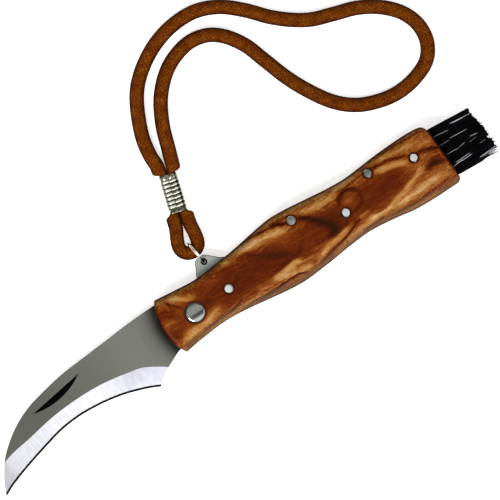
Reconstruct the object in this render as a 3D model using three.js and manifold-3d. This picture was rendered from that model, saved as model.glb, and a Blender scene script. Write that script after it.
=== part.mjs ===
// A folding mushroom knife, open and lying on its rear scale: a hooked blade, wooden scales on
// steel liners, a back spring, a brush at the rear end and a braided lanyard on a wire ring.
// Units are millimetres. X runs along the handle towards the brush, Y towards the spine and Z up.
// The origin is on the pivot axis, at the height of the surface that the knife lies on.
// The sizes are read from one photograph, for a handle 113 mm long.

import * as THREE from 'three';
import { mergeGeometries, mergeVertices } from 'three/addons/utils/BufferGeometryUtils.js';
import Module from 'manifold-3d';

const wasm = await Module();
wasm.setup();

// Handle: overall sizes. The outline tables below are shares of its length and height.
const HANDLE_LENGTH = 112.9;
const HANDLE_FRONT = 12.9;
const HANDLE_HEIGHT = 25;
const FRONT_BOW = 3.3;
const REAR_CORNER = 2.3;

// Handle: thicknesses of the stack, from the outside in.
const SCALE_THICK = 5.6;
const LINER_THICK = 1;
const BLADE_THICK = 2.2;
const BLADE_PLAY = 0.25;

// Handle: the crown of the scales. The middle of each scale stays flat.
const CROWN_DROP = 2.6;
const END_DROP = 1.2;
const END_ROUND = 2.2;
const LAND_SHARE = 0.42;

// Clearances. One overrun serves every cut.
const FIT_GAP = 0.3;
const PIN_CLEAR = 0.12;
const RUNNING_CLEAR = 0.09;
const FLOOR_GAP = 0.1;
const OVERRUN = 2;

// Pivot: a headed bolt in a capped nut, both ground flush with the wood.
const PIVOT_HEAD_D = 6.4;
const PIVOT_SHANK_D = 4.4;
const NUT_FLOOR = 2;

// Pins: three go through the stack, and short rivets hold each scale to its liner. The shares are
// of the handle's length, the depths are below the spine, and the brush pin is set in the block.
const PIN_D = 2.7;
const LUG_WALL = 1.5;
const RIVET_Y = 0.6;
const FRONT_RIVET_SHARE = 0.2374;
const REAR_RIVET_SHARE = 0.6572;
const SPRING_PIN_SHARE = 0.5066;
const SPRING_PIN_DEPTH = 4.35;
const SPRING_REAR_PIN_SHARE = 0.7759;
const SPRING_REAR_PIN_DEPTH = 3.35;
const BRUSH_PIN_SETBACK = 6;
const BRUSH_PIN_RISE = 2.8;

// Blade: reach is from the pivot to the tip, height is the unit of its outline table.
const BLADE_REACH = 88;
const BLADE_HEIGHT = 27.3;
const EDGE_THICK = 0.24;
const CLOSED_DEG = 165;

// Tang: a round heel under the spring, with a flat for each position of the blade.
const TANG_R = 5.4;
const TANG_FLAT = 5.15;
const TANG_CLEAR = 0.1;
const TANG_SHOULDER = 6.2;
const NECK_LOW = 4.95;

// Nail nick: a crescent, deepest at its straight upper side.
const NICK_X = 54.8;
const NICK_Y = 2.4;
const NICK_LENGTH = 20.8;
const NICK_SAG = 2.1;
const NICK_DEPTH = 0.75;
const NICK_TILT_DEG = 8.9;

// Brush: a block between the scales, and bristles fused to a slice at its rear.
const BRUSH_WIDTH = 18.6;
const BRUSH_THICK = 6.4;
const BLOCK_LENGTH = 12.8;
const BLOCK_STEP = 6.8;
const BLOCK_STEP_Y = 0.9;
const SLICE_THICK = 1.2;
const SLICE_INSET = 1.3;
const BRISTLE_LENGTH = 18;
const BRISTLE_D = 0.44;
const BRISTLE_MARGIN = 0.4;
const BRISTLE_TAPER = 0.3;
const BRISTLE_LEAN = 0.9;
const BRISTLE_UNEVEN = 1.9;
const BRISTLE_ROWS = 9;
const BRISTLES_PER_ROW = 36;

// Lanyard ear: a tab of the rear liner with a round hole, countersunk from the front.
const EAR_X = 11.8;
const EAR_HOLE_RISE = 3.05;
const EAR_HOLE_D = 2.3;
const EAR_BORE_D = 1.5;
const EAR_WIDTH = 12.2;
const EAR_HEIGHT = 5.6;

// Wire ring through the ear.
const RING_R = 4.07;
const RING_WIRE_D = 0.9;
const RING_LEAN_DEG = 8.1;

// Lanyard: an eye round the ring, a ribbed crimp, and the long loop lying on the surface.
const CORD_D = 5;
const EYE_CORD_D = 4.9;
const EYE_LENGTH = 10.9;
const LANYARD_LEAN_DEG = 16.3;
const CRIMP_LENGTH = 13.6;
const CRIMP_WIDTH = 6.9;
const CRIMP_THICK = 5;
const CRIMP_BAND = 1.7;
const CRIMP_GROOVE = 0.4;
const CRIMP_RIBS = 7;
const VALLEY_SHARE = 0.24;
const STRAND_GAP = 0.2;

// Heights of the stack, worked out from the thicknesses.
const BLADE_GAP = BLADE_THICK + 2 * BLADE_PLAY;
const REAR_LINER_Z = SCALE_THICK;
const GAP_Z = REAR_LINER_Z + LINER_THICK;
const FRONT_LINER_Z = GAP_Z + BLADE_GAP;
const FRONT_SCALE_Z = FRONT_LINER_Z + LINER_THICK;
const STACK = FRONT_SCALE_Z + SCALE_THICK;
const MIDDLE_Z = STACK / 2;

// Places along the handle, worked out from its length and the brush's sizes.
const HANDLE_REAR = HANDLE_LENGTH - HANDLE_FRONT;
const SLICE_REAR = HANDLE_REAR - SLICE_INSET;
const BLOCK_REAR = SLICE_REAR - SLICE_THICK;
const BLOCK_FRONT = BLOCK_REAR - BLOCK_LENGTH;

// Outline of the handle: share of the length from the front, share of the height from the pivot.
const SPINE_SHARES = [
  [0.03, 0.44], [0.07, 0.42], [0.114, 0.398], [0.158, 0.38], [0.203, 0.387], [0.247, 0.408],
  [0.291, 0.425], [0.336, 0.452], [0.38, 0.484], [0.424, 0.514], [0.46, 0.527], [0.513, 0.512],
  [0.557, 0.488], [0.601, 0.464], [0.646, 0.44], [0.708, 0.425], [0.779, 0.447], [0.823, 0.464],
  [0.911, 0.478], [0.956, 0.472], [0.979, 0.458],
];
const BELLY_SHARES = [
  [0.03, -0.388], [0.07, -0.36], [0.114, -0.34], [0.158, -0.325], [0.203, -0.326], [0.247, -0.345],
  [0.291, -0.373], [0.336, -0.404], [0.38, -0.433], [0.439, -0.455], [0.513, -0.436], [0.557, -0.416],
  [0.601, -0.393], [0.646, -0.375], [0.69, -0.369], [0.734, -0.385], [0.793, -0.423], [0.838, -0.457],
  [0.911, -0.472], [0.991, -0.469],
];

// Rear end of the handle: place across it, and setback as a share of the corner size.
const REAR_END_SHARES = [
  [-1, 0.45], [-0.93, -0.05], [-0.8, -0.14], [-0.4, -0.08], [0, 0], [0.4, 0.06], [0.8, 0.25],
  [0.93, 0.5], [1, 1],
];

// Places across the handle where its surface has a line of points.
const ACROSS_SHARES = [
  -1, -0.97, -0.91, -0.82, -0.66, -LAND_SHARE, -0.21, 0, 0.21, LAND_SHARE, 0.66, 0.82, 0.91, 0.97, 1,
];

// Places along the rounded ends, as shares of the rounding's length.
const END_SHARES = [0, 0.1, 0.3, 0.6, 1];
const HANDLE_STEPS = 26;

// Outlines of the blade: share of the reach towards the tip, share of the height from the pivot.
const BLADE_BACK_SHARES = [
  [0.114, 0.356], [0.227, 0.345], [0.341, 0.317], [0.455, 0.289], [0.568, 0.258], [0.682, 0.19],
  [0.739, 0.143], [0.795, 0.07], [0.852, -0.037], [0.909, -0.183], [0.943, -0.308], [0.977, -0.484],
  [1, -0.645],
];
const BLADE_EDGE_SHARES = [
  [1, -0.645], [0.955, -0.575], [0.886, -0.498], [0.795, -0.414], [0.682, -0.326], [0.591, -0.3],
  [0.511, -0.315], [0.455, -0.341], [0.398, -0.381], [0.341, -0.44], [0.303, -0.487], [0.267, -0.542],
];
const BLADE_CHOIL_SHARES = [
  [0.216, -0.41], [0.136, -0.293],
];

// Bevel: the line where the grinding starts, and the edge line that faces it, tip first.
const GRIND_SHARES = [
  [1.006, -0.62], [0.952, -0.33], [0.903, -0.245], [0.795, -0.187], [0.682, -0.125], [0.568, -0.101],
  [0.455, -0.114], [0.341, -0.176], [0.284, -0.223], [0.227, -0.33], [0.194, -0.407],
];
const GRIND_EDGE_SHARES = [
  [1.01, -0.69], [0.955, -0.575], [0.886, -0.498], [0.795, -0.414], [0.682, -0.326], [0.591, -0.3],
  [0.511, -0.315], [0.398, -0.381], [0.341, -0.44], [0.29, -0.509], [0.26, -0.56],
];
const BEVEL_PAST_SHARE = 1.25;
const BEVEL_STEPS = 24;

// Lower face of the back spring: shares of the handle's length and height.
const SPRING_FACE_SHARES = [
  [0.229, 0.24], [0.291, 0.288], [0.353, 0.35], [0.406, 0.378], [0.459, 0.378], [0.557, 0.358],
  [0.646, 0.33], [0.716, 0.312], [0.831, 0.332],
];

// Outline of the ear round its hole: shares of its width and height.
const EAR_SHARES = [
  [-0.45, -0.8], [-0.41, -0.52], [-0.31, -0.14], [-0.26, 0.13], [-0.215, 0.31], [-0.155, 0.39],
  [-0.075, 0.425], [0.025, 0.425], [0.1, 0.37], [0.2, 0.19], [0.34, -0.09], [0.45, -0.3], [0.56, -0.44],
  [0.62, -0.8],
];

// Eye of the lanyard above its bend: share of the eye's length, share of the bend's radius.
const EYE_LEFT_SHARES = [
  [0.28, 0.95], [0.55, 0.78], [0.8, 0.75],
];
const EYE_RIGHT_SHARES = [
  [0.28, 0.98], [0.55, 0.81], [0.8, 0.76],
];

// Centre line of the long loop on the surface, from the crimp's far end and back to it.
const LOOP_POINTS = [
  [-2.65, 3.4], [-3.75, 7.2], [-4.5, 14.5], [-2.5, 27.7], [0.9, 34.8], [7.8, 42.5], [15.9, 47.6],
  [24.9, 50.1], [33.3, 49.2], [41.2, 45.7], [49, 40.9], [56.2, 37.7], [62.1, 36.1], [70.1, 35.7],
  [78.2, 35.4], [85.8, 33.4], [92.6, 29.3], [96.6, 23.8], [97.7, 17.3], [95.6, 11.4], [89.9, 6.6],
  [82.7, 3.6], [74.9, 2.9], [68, 3.9], [61.4, 7], [54.8, 12.5], [48.6, 19.3], [43, 27.2],
  [37.9, 34.3], [32.1, 39.1], [26.8, 41.1], [20.5, 40.7], [14.4, 37.6], [9.6, 33], [5.4, 25.4],
  [3.3, 16.4], [2.85, 7.8], [2.65, 3.4],
];
const LOOP_STEPS = 62;
const EYE_STEPS = 26;
const CORD_SIDES = 8;
const PIN_SIDES = 20;
const HEAD_SIDES = 36;

const MATERIALS = {
  wood: new THREE.MeshStandardMaterial({ color: 0x8a4416, roughness: 0.38, metalness: 0 }),
  blade: new THREE.MeshStandardMaterial({ color: 0xa3a49c, roughness: 0.35, metalness: 1 }),
  liner: new THREE.MeshStandardMaterial({ color: 0x9da09b, roughness: 0.4, metalness: 1 }),
  pin: new THREE.MeshStandardMaterial({ color: 0xd5d8d8, roughness: 0.18, metalness: 1 }),
  ring: new THREE.MeshStandardMaterial({ color: 0xd0cfca, roughness: 0.2, metalness: 1 }),
  crimp: new THREE.MeshStandardMaterial({ color: 0xb4b3a6, roughness: 0.3, metalness: 1 }),
  cord: new THREE.MeshStandardMaterial({ color: 0x7c3d12, roughness: 0.9, metalness: 0 }),
  block: new THREE.MeshStandardMaterial({ color: 0x111111, roughness: 0.5, metalness: 0 }),
  bristle: new THREE.MeshStandardMaterial({ color: 0x0b0b0b, roughness: 0.45, metalness: 0 }),
};

// Helpers.

const radians = THREE.MathUtils.degToRad;

// Turns a closed three.js geometry into a solid for cutting and joining.
function solidOf(geometry) {
  const bare = geometry.clone();
  bare.deleteAttribute('normal');
  bare.deleteAttribute('uv');
  const welded = mergeVertices(bare);
  return new wasm.Manifold(new wasm.Mesh({
    numProp: 3,
    vertProperties: new Float32Array(welded.attributes.position.array),
    triVerts: new Uint32Array(welded.index.array),
  }));
}

// Turns a solid back into a geometry.
function geometryOf(solid) {
  const mesh = solid.getMesh();
  const geometry = new THREE.BufferGeometry();
  geometry.setAttribute('position', new THREE.BufferAttribute(mesh.vertProperties, mesh.numProp));
  geometry.setIndex(new THREE.BufferAttribute(mesh.triVerts, 1));
  geometry.computeVertexNormals();
  return geometry;
}

// Builds an indexed geometry with its faces pointing out.
function closedGeometry(points, triangles) {
  let volume = 0;
  for (const [a, b, c] of triangles) {
    const cross = new THREE.Vector3().crossVectors(points[b], points[c]);
    volume += points[a].dot(cross);
  }
  const turned = volume < 0 ? triangles.map(([a, b, c]) => [a, c, b]) : triangles;
  const geometry = new THREE.BufferGeometry().setFromPoints(points);
  geometry.setIndex(turned.flat());
  geometry.computeVertexNormals();
  return geometry;
}

// Joins rings of points, all with the same count, and closes both ends with a fan.
function loft(rings) {
  const count = rings[0].length;
  const points = rings.flat();
  const triangles = [];
  for (let i = 0; i + 1 < rings.length; i += 1) {
    for (let k = 0; k < count; k += 1) {
      const a = i * count + k;
      const b = i * count + (k + 1) % count;
      triangles.push([a, b, b + count], [a, b + count, a + count]);
    }
  }
  const last = (rings.length - 1) * count;
  for (let k = 1; k + 1 < count; k += 1) {
    triangles.push([0, k + 1, k], [last, last + k, last + k + 1]);
  }
  return closedGeometry(points, triangles);
}

// Height of a smooth curve through a table of [place, height] pairs.
function follow(table, place) {
  const last = table.length - 1;
  let k = 0;
  while (k < last - 1 && place > table[k + 1][0]) {
    k += 1;
  }
  const slope = (i) => {
    const before = table[Math.max(i - 1, 0)];
    const after = table[Math.min(i + 1, last)];
    return (after[1] - before[1]) / (after[0] - before[0]);
  };
  const [x0, y0] = table[k];
  const [x1, y1] = table[k + 1];
  const span = x1 - x0;
  const t = (place - x0) / span;
  const s = 1 - t;
  return y0 * s * s * (1 + 2 * t) + y1 * t * t * (1 + 2 * s)
    + span * (slope(k) * t * s * s - slope(k + 1) * t * t * s);
}

// A straight-sided solid over an outline, between two heights.
function prism(outline, low, high) {
  const shape = outline instanceof THREE.Shape ? outline : new THREE.Shape(outline);
  const geometry = new THREE.ExtrudeGeometry(shape, { depth: high - low, bevelEnabled: false, curveSegments: 3 });
  geometry.translate(0, 0, low);
  return solidOf(geometry);
}

// A round bar along Z.
function bar(place, diameter, low, high, sides) {
  const radius = diameter / 2;
  const geometry = new THREE.CylinderGeometry(radius, radius, high - low, sides);
  geometry.rotateX(Math.PI / 2);
  geometry.translate(place.x, place.y, (low + high) / 2);
  return solidOf(geometry);
}

function named(name, geometry, material) {
  const mesh = new THREE.Mesh(geometry, material);
  mesh.name = name;
  return mesh;
}

function solidMesh(name, solid, material) {
  return named(name, geometryOf(solid), material);
}

// Handle blank.

// How far the surface has dropped, as a share, at a place that runs from 0 at the rim to 1.
function sag(place) {
  const rest = 1 - Math.min(Math.max(place, 0), 1);
  return 1 - Math.sqrt(1 - rest * rest);
}

function frontX(across) {
  return FRONT_BOW * across * across - HANDLE_FRONT;
}

function rearX(across) {
  return HANDLE_REAR - REAR_CORNER * follow(REAR_END_SHARES, across);
}

function handleX(along, across) {
  return frontX(across) * (1 - along) + rearX(across) * along;
}

function spineY(x) {
  return HANDLE_HEIGHT * follow(SPINE_SHARES, (x + HANDLE_FRONT) / HANDLE_LENGTH);
}

function bellyY(x) {
  return HANDLE_HEIGHT * follow(BELLY_SHARES, (x + HANDLE_FRONT) / HANDLE_LENGTH);
}

// A point of the handle's outline surface: along runs from front to rear, across from belly to spine.
function handlePoint(along, across) {
  const x = handleX(along, across);
  const top = spineY(handleX(along, 1));
  const bottom = bellyY(handleX(along, -1));
  const y = THREE.MathUtils.lerp(bottom, top, (across + 1) / 2);
  const toEnd = Math.min(x - frontX(across), rearX(across) - x);
  const crown = CROWN_DROP * sag((1 - Math.abs(across)) / (1 - LAND_SHARE));
  const drop = crown + END_DROP * sag(toEnd / END_ROUND);
  return { x, y, drop };
}

function alongPlaces() {
  const end = END_ROUND / HANDLE_LENGTH;
  const places = END_SHARES.map((share) => share * end);
  for (let i = 1; i < HANDLE_STEPS; i += 1) {
    places.push(THREE.MathUtils.lerp(end, 1 - end, i / HANDLE_STEPS));
  }
  for (const share of [...END_SHARES].reverse()) {
    places.push(1 - share * end);
  }
  return places;
}

// The whole handle as one crowned body, from which the scales, liners, spring and pins are cut.
function handleBlank() {
  const places = alongPlaces();
  const rows = places.length;
  const columns = ACROSS_SHARES.length;
  const points = [];
  for (const side of [0, 1]) {
    for (const along of places) {
      for (const across of ACROSS_SHARES) {
        const { x, y, drop } = handlePoint(along, across);
        points.push(new THREE.Vector3(x, y, side ? STACK - drop : drop));
      }
    }
  }
  const at = (side, i, j) => side * rows * columns + i * columns + j;
  const triangles = [];
  for (let i = 0; i + 1 < rows; i += 1) {
    for (let j = 0; j + 1 < columns; j += 1) {
      triangles.push([at(1, i, j), at(1, i + 1, j), at(1, i + 1, j + 1)]);
      triangles.push([at(1, i, j), at(1, i + 1, j + 1), at(1, i, j + 1)]);
      triangles.push([at(0, i, j), at(0, i + 1, j + 1), at(0, i + 1, j)]);
      triangles.push([at(0, i, j), at(0, i, j + 1), at(0, i + 1, j + 1)]);
    }
    for (const j of [0, columns - 1]) {
      const [from, to] = j ? [i, i + 1] : [i + 1, i];
      triangles.push([at(0, from, j), at(1, to, j), at(0, to, j)]);
      triangles.push([at(0, from, j), at(1, from, j), at(1, to, j)]);
    }
  }
  for (let j = 0; j + 1 < columns; j += 1) {
    for (const i of [0, rows - 1]) {
      const [from, to] = i ? [j + 1, j] : [j, j + 1];
      triangles.push([at(0, i, from), at(1, i, to), at(0, i, to)]);
      triangles.push([at(0, i, from), at(1, i, from), at(1, i, to)]);
    }
  }
  return solidOf(closedGeometry(points, triangles));
}

const blank = handleBlank();

// A layer of the blank between two heights.
function layer(low, high) {
  const wide = HANDLE_LENGTH + 2 * OVERRUN;
  const deep = 2 * HANDLE_HEIGHT;
  const geometry = new THREE.BoxGeometry(wide, deep, high - low);
  geometry.translate(HANDLE_REAR + OVERRUN - wide / 2, 0, (low + high) / 2);
  return blank.intersect(solidOf(geometry));
}

// Brush.

const BLOCK_LOW = MIDDLE_Z - BRUSH_THICK / 2;
const BLOCK_HIGH = MIDDLE_Z + BRUSH_THICK / 2;

// The stepped outline of the block, grown all round by a clearance and ending at a given place.
function blockOutline(grow, rear) {
  const half = BRUSH_WIDTH / 2 + grow;
  const front = BLOCK_FRONT - grow;
  const step = BLOCK_FRONT + BLOCK_STEP - grow;
  const low = BLOCK_STEP_Y - grow;
  return [
    new THREE.Vector2(front, low), new THREE.Vector2(step, low), new THREE.Vector2(step, -half),
    new THREE.Vector2(rear, -half), new THREE.Vector2(rear, half), new THREE.Vector2(front, half),
  ];
}

function brushBlock() {
  const body = prism(blockOutline(0, BLOCK_REAR), BLOCK_LOW, BLOCK_HIGH);
  return body.subtract(bar(BRUSH_PIN, PIN_D + 2 * PIN_CLEAR, 0, STACK, PIN_SIDES));
}

// The room that the block and the slice take in the scales and liners.
function brushRoom() {
  return prism(blockOutline(FIT_GAP, HANDLE_REAR + OVERRUN), BLOCK_LOW - FIT_GAP, BLOCK_HIGH + FIT_GAP);
}

// A steady scatter between -1 and 1 for a whole number.
function scatter(number, seed) {
  const value = Math.sin(number * 12.9898 + seed * 78.233) * 43758.5453;
  return 2 * (value - Math.floor(value)) - 1;
}

// One bristle: a three-sided strand that narrows to its tip.
function bristle(root, tip, turn) {
  const ring = (centre, radius) => [0, 1, 2].map((k) => {
    const angle = turn + (k * 2 * Math.PI) / 3;
    return new THREE.Vector3(centre.x, centre.y + radius * Math.cos(angle), centre.z + radius * Math.sin(angle));
  });
  return loft([ring(root, BRISTLE_D / 2), ring(tip, BRISTLE_D / 3)]);
}

function bristles() {
  const halfWidth = BRUSH_WIDTH / 2 - BRISTLE_MARGIN;
  const halfThick = BRUSH_THICK / 2 - BRISTLE_MARGIN;
  const pitch = (2 * halfWidth) / (BRISTLES_PER_ROW - 0.5);
  const strands = [];
  for (let row = 0; row < BRISTLE_ROWS; row += 1) {
    for (let k = 0; k < BRISTLES_PER_ROW; k += 1) {
      const number = row * BRISTLES_PER_ROW + k;
      const y = (k + (row % 2) / 2) * pitch - halfWidth + (scatter(number, 4) * BRISTLE_D) / 12;
      const z = (row / (BRISTLE_ROWS - 1)) * 2 * halfThick - halfThick + (scatter(number, 2) * BRISTLE_D) / 6;
      const length = BRISTLE_LENGTH - (BRISTLE_UNEVEN * (2 + scatter(number, 1) + scatter(k, 3))) / 4;
      const run = length / BRISTLE_LENGTH;
      const root = new THREE.Vector3(SLICE_REAR, y, MIDDLE_Z + z);
      const tip = new THREE.Vector3(
        SLICE_REAR + length,
        y - run * (BRISTLE_TAPER * (y / halfWidth) + BRISTLE_LEAN),
        MIDDLE_Z + z * (1 - run * (BRISTLE_TAPER / halfWidth)),
      );
      root.addScaledVector(tip.clone().sub(root), -SLICE_THICK / (2 * length));
      strands.push(bristle(root, tip, scatter(number, 5)));
    }
  }
  const slice = new THREE.BoxGeometry(SLICE_THICK, BRUSH_WIDTH, BRUSH_THICK);
  slice.translate(SLICE_REAR - SLICE_THICK / 2, 0, MIDDLE_Z);
  return solidOf(slice).add(solidOf(mergeGeometries(strands)));
}

// Places of the pins.

function placeAlong(share) {
  return share * HANDLE_LENGTH - HANDLE_FRONT;
}

function placeUnderSpine(share, depth) {
  const x = placeAlong(share);
  return { x, y: spineY(x) - depth };
}

const PIVOT = { x: 0, y: 0 };
const FRONT_RIVET = { x: placeAlong(FRONT_RIVET_SHARE), y: RIVET_Y };
const REAR_RIVET = { x: placeAlong(REAR_RIVET_SHARE), y: RIVET_Y };
const SPRING_PIN = placeUnderSpine(SPRING_PIN_SHARE, SPRING_PIN_DEPTH);
const SPRING_REAR_PIN = placeUnderSpine(SPRING_REAR_PIN_SHARE, SPRING_REAR_PIN_DEPTH);
const BRUSH_PIN = { x: BLOCK_FRONT + BRUSH_PIN_SETBACK, y: BLOCK_STEP_Y + BRUSH_PIN_RISE };
const THROUGH_PINS = [SPRING_PIN, SPRING_REAR_PIN, BRUSH_PIN];
const SHORT_RIVETS = [FRONT_RIVET, REAR_RIVET];

// Handle pieces.

// A wooden scale: holes with a visible ring of room round every pin, and a pocket for the brush.
function scale(low, high) {
  let body = layer(low, high).subtract(brushRoom());
  for (const pin of [...THROUGH_PINS, ...SHORT_RIVETS]) {
    body = body.subtract(bar(pin, PIN_D + 2 * FIT_GAP, low - OVERRUN, high + OVERRUN, PIN_SIDES));
  }
  return body.subtract(bar(PIVOT, PIVOT_HEAD_D + 2 * FIT_GAP, low - OVERRUN, high + OVERRUN, HEAD_SIDES));
}

function liner(low, high) {
  let body = layer(low, high).subtract(brushRoom());
  for (const pin of [...THROUGH_PINS, ...SHORT_RIVETS]) {
    body = body.subtract(bar(pin, PIN_D + 2 * PIN_CLEAR, low - OVERRUN, high + OVERRUN, PIN_SIDES));
  }
  return body.subtract(bar(PIVOT, PIVOT_SHANK_D + 2 * PIN_CLEAR, low - OVERRUN, high + OVERRUN, HEAD_SIDES));
}

const EAR_HOLE = { x: EAR_X, y: spineY(EAR_X) + EAR_HOLE_RISE };

// A cone that opens from the bore at the lower face of the ear to the hole at the upper one.
function countersink(place, low, high) {
  const thick = high - low;
  const widen = (EAR_HOLE_D - EAR_BORE_D) / 4;
  const geometry = new THREE.CylinderGeometry(EAR_HOLE_D / 2 + widen, EAR_BORE_D / 2 - widen, 2 * thick, PIN_SIDES);
  geometry.rotateX(Math.PI / 2);
  geometry.translate(place.x, place.y, (low + high) / 2);
  return solidOf(geometry);
}

// The rear liner carries the ear that stands out above the spine.
function earedLiner(low, high) {
  const outline = EAR_SHARES.map(([across, up]) => new THREE.Vector2(
    EAR_HOLE.x + across * EAR_WIDTH,
    EAR_HOLE.y + up * EAR_HEIGHT,
  ));
  const ear = prism(outline, low, high);
  return liner(low, high).add(ear).subtract(countersink(EAR_HOLE, low, high));
}

// The back spring fills the spine between the liners, with a lug round each of its pins.
function backSpring() {
  const face = TANG_R + TANG_CLEAR;
  const front = FIT_GAP - TANG_SHOULDER;
  const above = BRUSH_WIDTH / 2 + FIT_GAP;
  const beam = [
    new THREE.Vector2(front, HANDLE_HEIGHT), new THREE.Vector2(front, face), new THREE.Vector2(TANG_R, face),
  ];
  for (const [along, up] of SPRING_FACE_SHARES) {
    beam.push(new THREE.Vector2(placeAlong(along), up * HANDLE_HEIGHT));
  }
  beam.push(new THREE.Vector2(BLOCK_FRONT - FIT_GAP, above));
  beam.push(new THREE.Vector2(HANDLE_REAR + OVERRUN, above));
  beam.push(new THREE.Vector2(HANDLE_REAR + OVERRUN, HANDLE_HEIGHT));
  let body = prism(beam, GAP_Z, FRONT_LINER_Z);
  for (const pin of [SPRING_PIN, SPRING_REAR_PIN]) {
    body = body.add(bar(pin, PIN_D + 2 * LUG_WALL, GAP_Z, FRONT_LINER_Z, PIN_SIDES));
  }
  for (const pin of [SPRING_PIN, SPRING_REAR_PIN]) {
    body = body.subtract(bar(pin, PIN_D + 2 * PIN_CLEAR, 0, STACK, PIN_SIDES));
  }
  return body.intersect(blank);
}

// A pin between two heights, ground flush with the crowned wood.
function flushPin(place, low, high) {
  return bar(place, PIN_D, low, high, PIN_SIDES).intersect(blank);
}

function pivotBolt() {
  const head = bar(PIVOT, PIVOT_HEAD_D, FRONT_SCALE_Z, STACK, HEAD_SIDES);
  return head.add(bar(PIVOT, PIVOT_SHANK_D, NUT_FLOOR + FIT_GAP, FRONT_SCALE_Z + OVERRUN, HEAD_SIDES));
}

function pivotNut() {
  const body = bar(PIVOT, PIVOT_HEAD_D, 0, SCALE_THICK, HEAD_SIDES);
  return body.subtract(bar(PIVOT, PIVOT_SHANK_D + 2 * PIN_CLEAR, NUT_FLOOR, STACK, HEAD_SIDES));
}

// Blade, in its own frame: pivot at the origin, middle of its thickness at zero.

function bladePoints(shares) {
  return shares.map(([out, up]) => new THREE.Vector2(-out * BLADE_REACH, up * BLADE_HEIGHT));
}

// The rounded heel of the tang, with a flat under the spring for the open and the closed blade.
function tangOutline() {
  const flats = [Math.PI / 2, Math.PI / 2 - radians(CLOSED_DEG)];
  const points = [];
  for (let k = 0; k < HEAD_SIDES; k += 1) {
    const angle = (k * 2 * Math.PI) / HEAD_SIDES;
    let radius = TANG_R;
    for (const flat of flats) {
      const lean = Math.cos(angle - flat);
      if (lean > 0) {
        radius = Math.min(radius, TANG_FLAT / lean);
      }
    }
    points.push(new THREE.Vector2(radius * Math.cos(angle), radius * Math.sin(angle)));
  }
  return points;
}

function bladeOutline() {
  const flat = Math.PI / 2 - radians(CLOSED_DEG);
  const foot = new THREE.Vector2(Math.cos(flat), Math.sin(flat)).multiplyScalar(TANG_FLAT);
  const along = new THREE.Vector2(Math.sin(flat), -Math.cos(flat)).multiplyScalar(NECK_LOW);
  const neck = foot.clone().add(along);
  const back = bladePoints(BLADE_BACK_SHARES);
  const edge = bladePoints(BLADE_EDGE_SHARES);
  const shape = new THREE.Shape();
  shape.moveTo(-TANG_SHOULDER, back[0].y);
  shape.lineTo(back[0].x, back[0].y);
  shape.splineThru(back.slice(1));
  shape.splineThru(edge.slice(1));
  for (const point of bladePoints(BLADE_CHOIL_SHARES)) {
    shape.lineTo(point.x, point.y);
  }
  shape.lineTo(neck.x, neck.y);
  shape.lineTo(foot.x, foot.y);
  shape.lineTo(0, 0);
  shape.lineTo(0, TANG_FLAT);
  shape.lineTo(-TANG_SHOULDER, TANG_FLAT);
  shape.closePath();
  return shape;
}

// The wedge that is ground off one face, from the grind line out past the edge.
function bevelCut(side) {
  const grind = new THREE.SplineCurve(bladePoints(GRIND_SHARES));
  const edge = new THREE.SplineCurve(bladePoints(GRIND_EDGE_SHARES));
  const half = BLADE_THICK / 2;
  const depth = (half - EDGE_THICK / 2) * BEVEL_PAST_SHARE;
  const rings = [];
  for (let i = 0; i <= BEVEL_STEPS; i += 1) {
    const inner = grind.getPoint(i / BEVEL_STEPS);
    const outer = inner.clone().lerp(edge.getPoint(i / BEVEL_STEPS), BEVEL_PAST_SHARE);
    rings.push([
      new THREE.Vector3(inner.x, inner.y, side * half),
      new THREE.Vector3(outer.x, outer.y, side * (half - depth)),
      new THREE.Vector3(outer.x, outer.y, side * (half + OVERRUN)),
      new THREE.Vector3(inner.x, inner.y, side * (half + OVERRUN)),
    ]);
  }
  return solidOf(loft(rings));
}

// The crescent cut for a fingernail, sloping up from its straight side to the surface.
function nickCut() {
  const half = NICK_LENGTH / 2;
  const radius = (half * half + NICK_SAG * NICK_SAG) / (2 * NICK_SAG);
  const reach = Math.asin(half / radius);
  const shape = new THREE.Shape();
  shape.moveTo(-half, 0);
  shape.absarc(0, radius - NICK_SAG, radius, -Math.PI / 2 - reach, -Math.PI / 2 + reach, false);
  shape.closePath();
  const geometry = new THREE.ExtrudeGeometry(shape, {
    depth: NICK_DEPTH + OVERRUN, bevelEnabled: false, curveSegments: 12,
  });
  geometry.rotateX(-Math.asin(NICK_DEPTH / NICK_SAG));
  geometry.rotateZ(radians(NICK_TILT_DEG));
  geometry.translate(-NICK_X, NICK_Y, BLADE_THICK / 2 - NICK_DEPTH);
  return solidOf(geometry);
}

function blade() {
  const half = BLADE_THICK / 2;
  let body = prism(bladeOutline(), -half, half).add(prism(tangOutline(), -half, half));
  body = body.subtract(bar(PIVOT, PIVOT_SHANK_D + 2 * RUNNING_CLEAR, -BLADE_THICK, BLADE_THICK, HEAD_SIDES));
  body = body.subtract(bevelCut(1)).subtract(bevelCut(-1)).subtract(nickCut());
  return solidMesh('blade', body, MATERIALS.blade);
}

// Ring and lanyard.

const EAR_Z = REAR_LINER_Z + LINER_THICK / 2;
const EYE_BEND_R = RING_WIRE_D / 2 + FIT_GAP / 2 + EYE_CORD_D / 2 + FIT_GAP;

// The ring stands on edge in the ear's hole. Its group sits on the hole's axis.
function ringGroup() {
  const group = new THREE.Group();
  group.position.set(EAR_HOLE.x, EAR_HOLE.y, EAR_Z);
  group.rotation.z = radians(RING_LEAN_DEG);
  const ring = named('lanyard_ring', new THREE.TorusGeometry(RING_R, RING_WIRE_D / 2, 6, 30), MATERIALS.ring);
  ring.position.y = RING_R;
  ring.rotation.y = Math.PI / 2;
  group.add(ring);
  return group;
}

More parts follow.
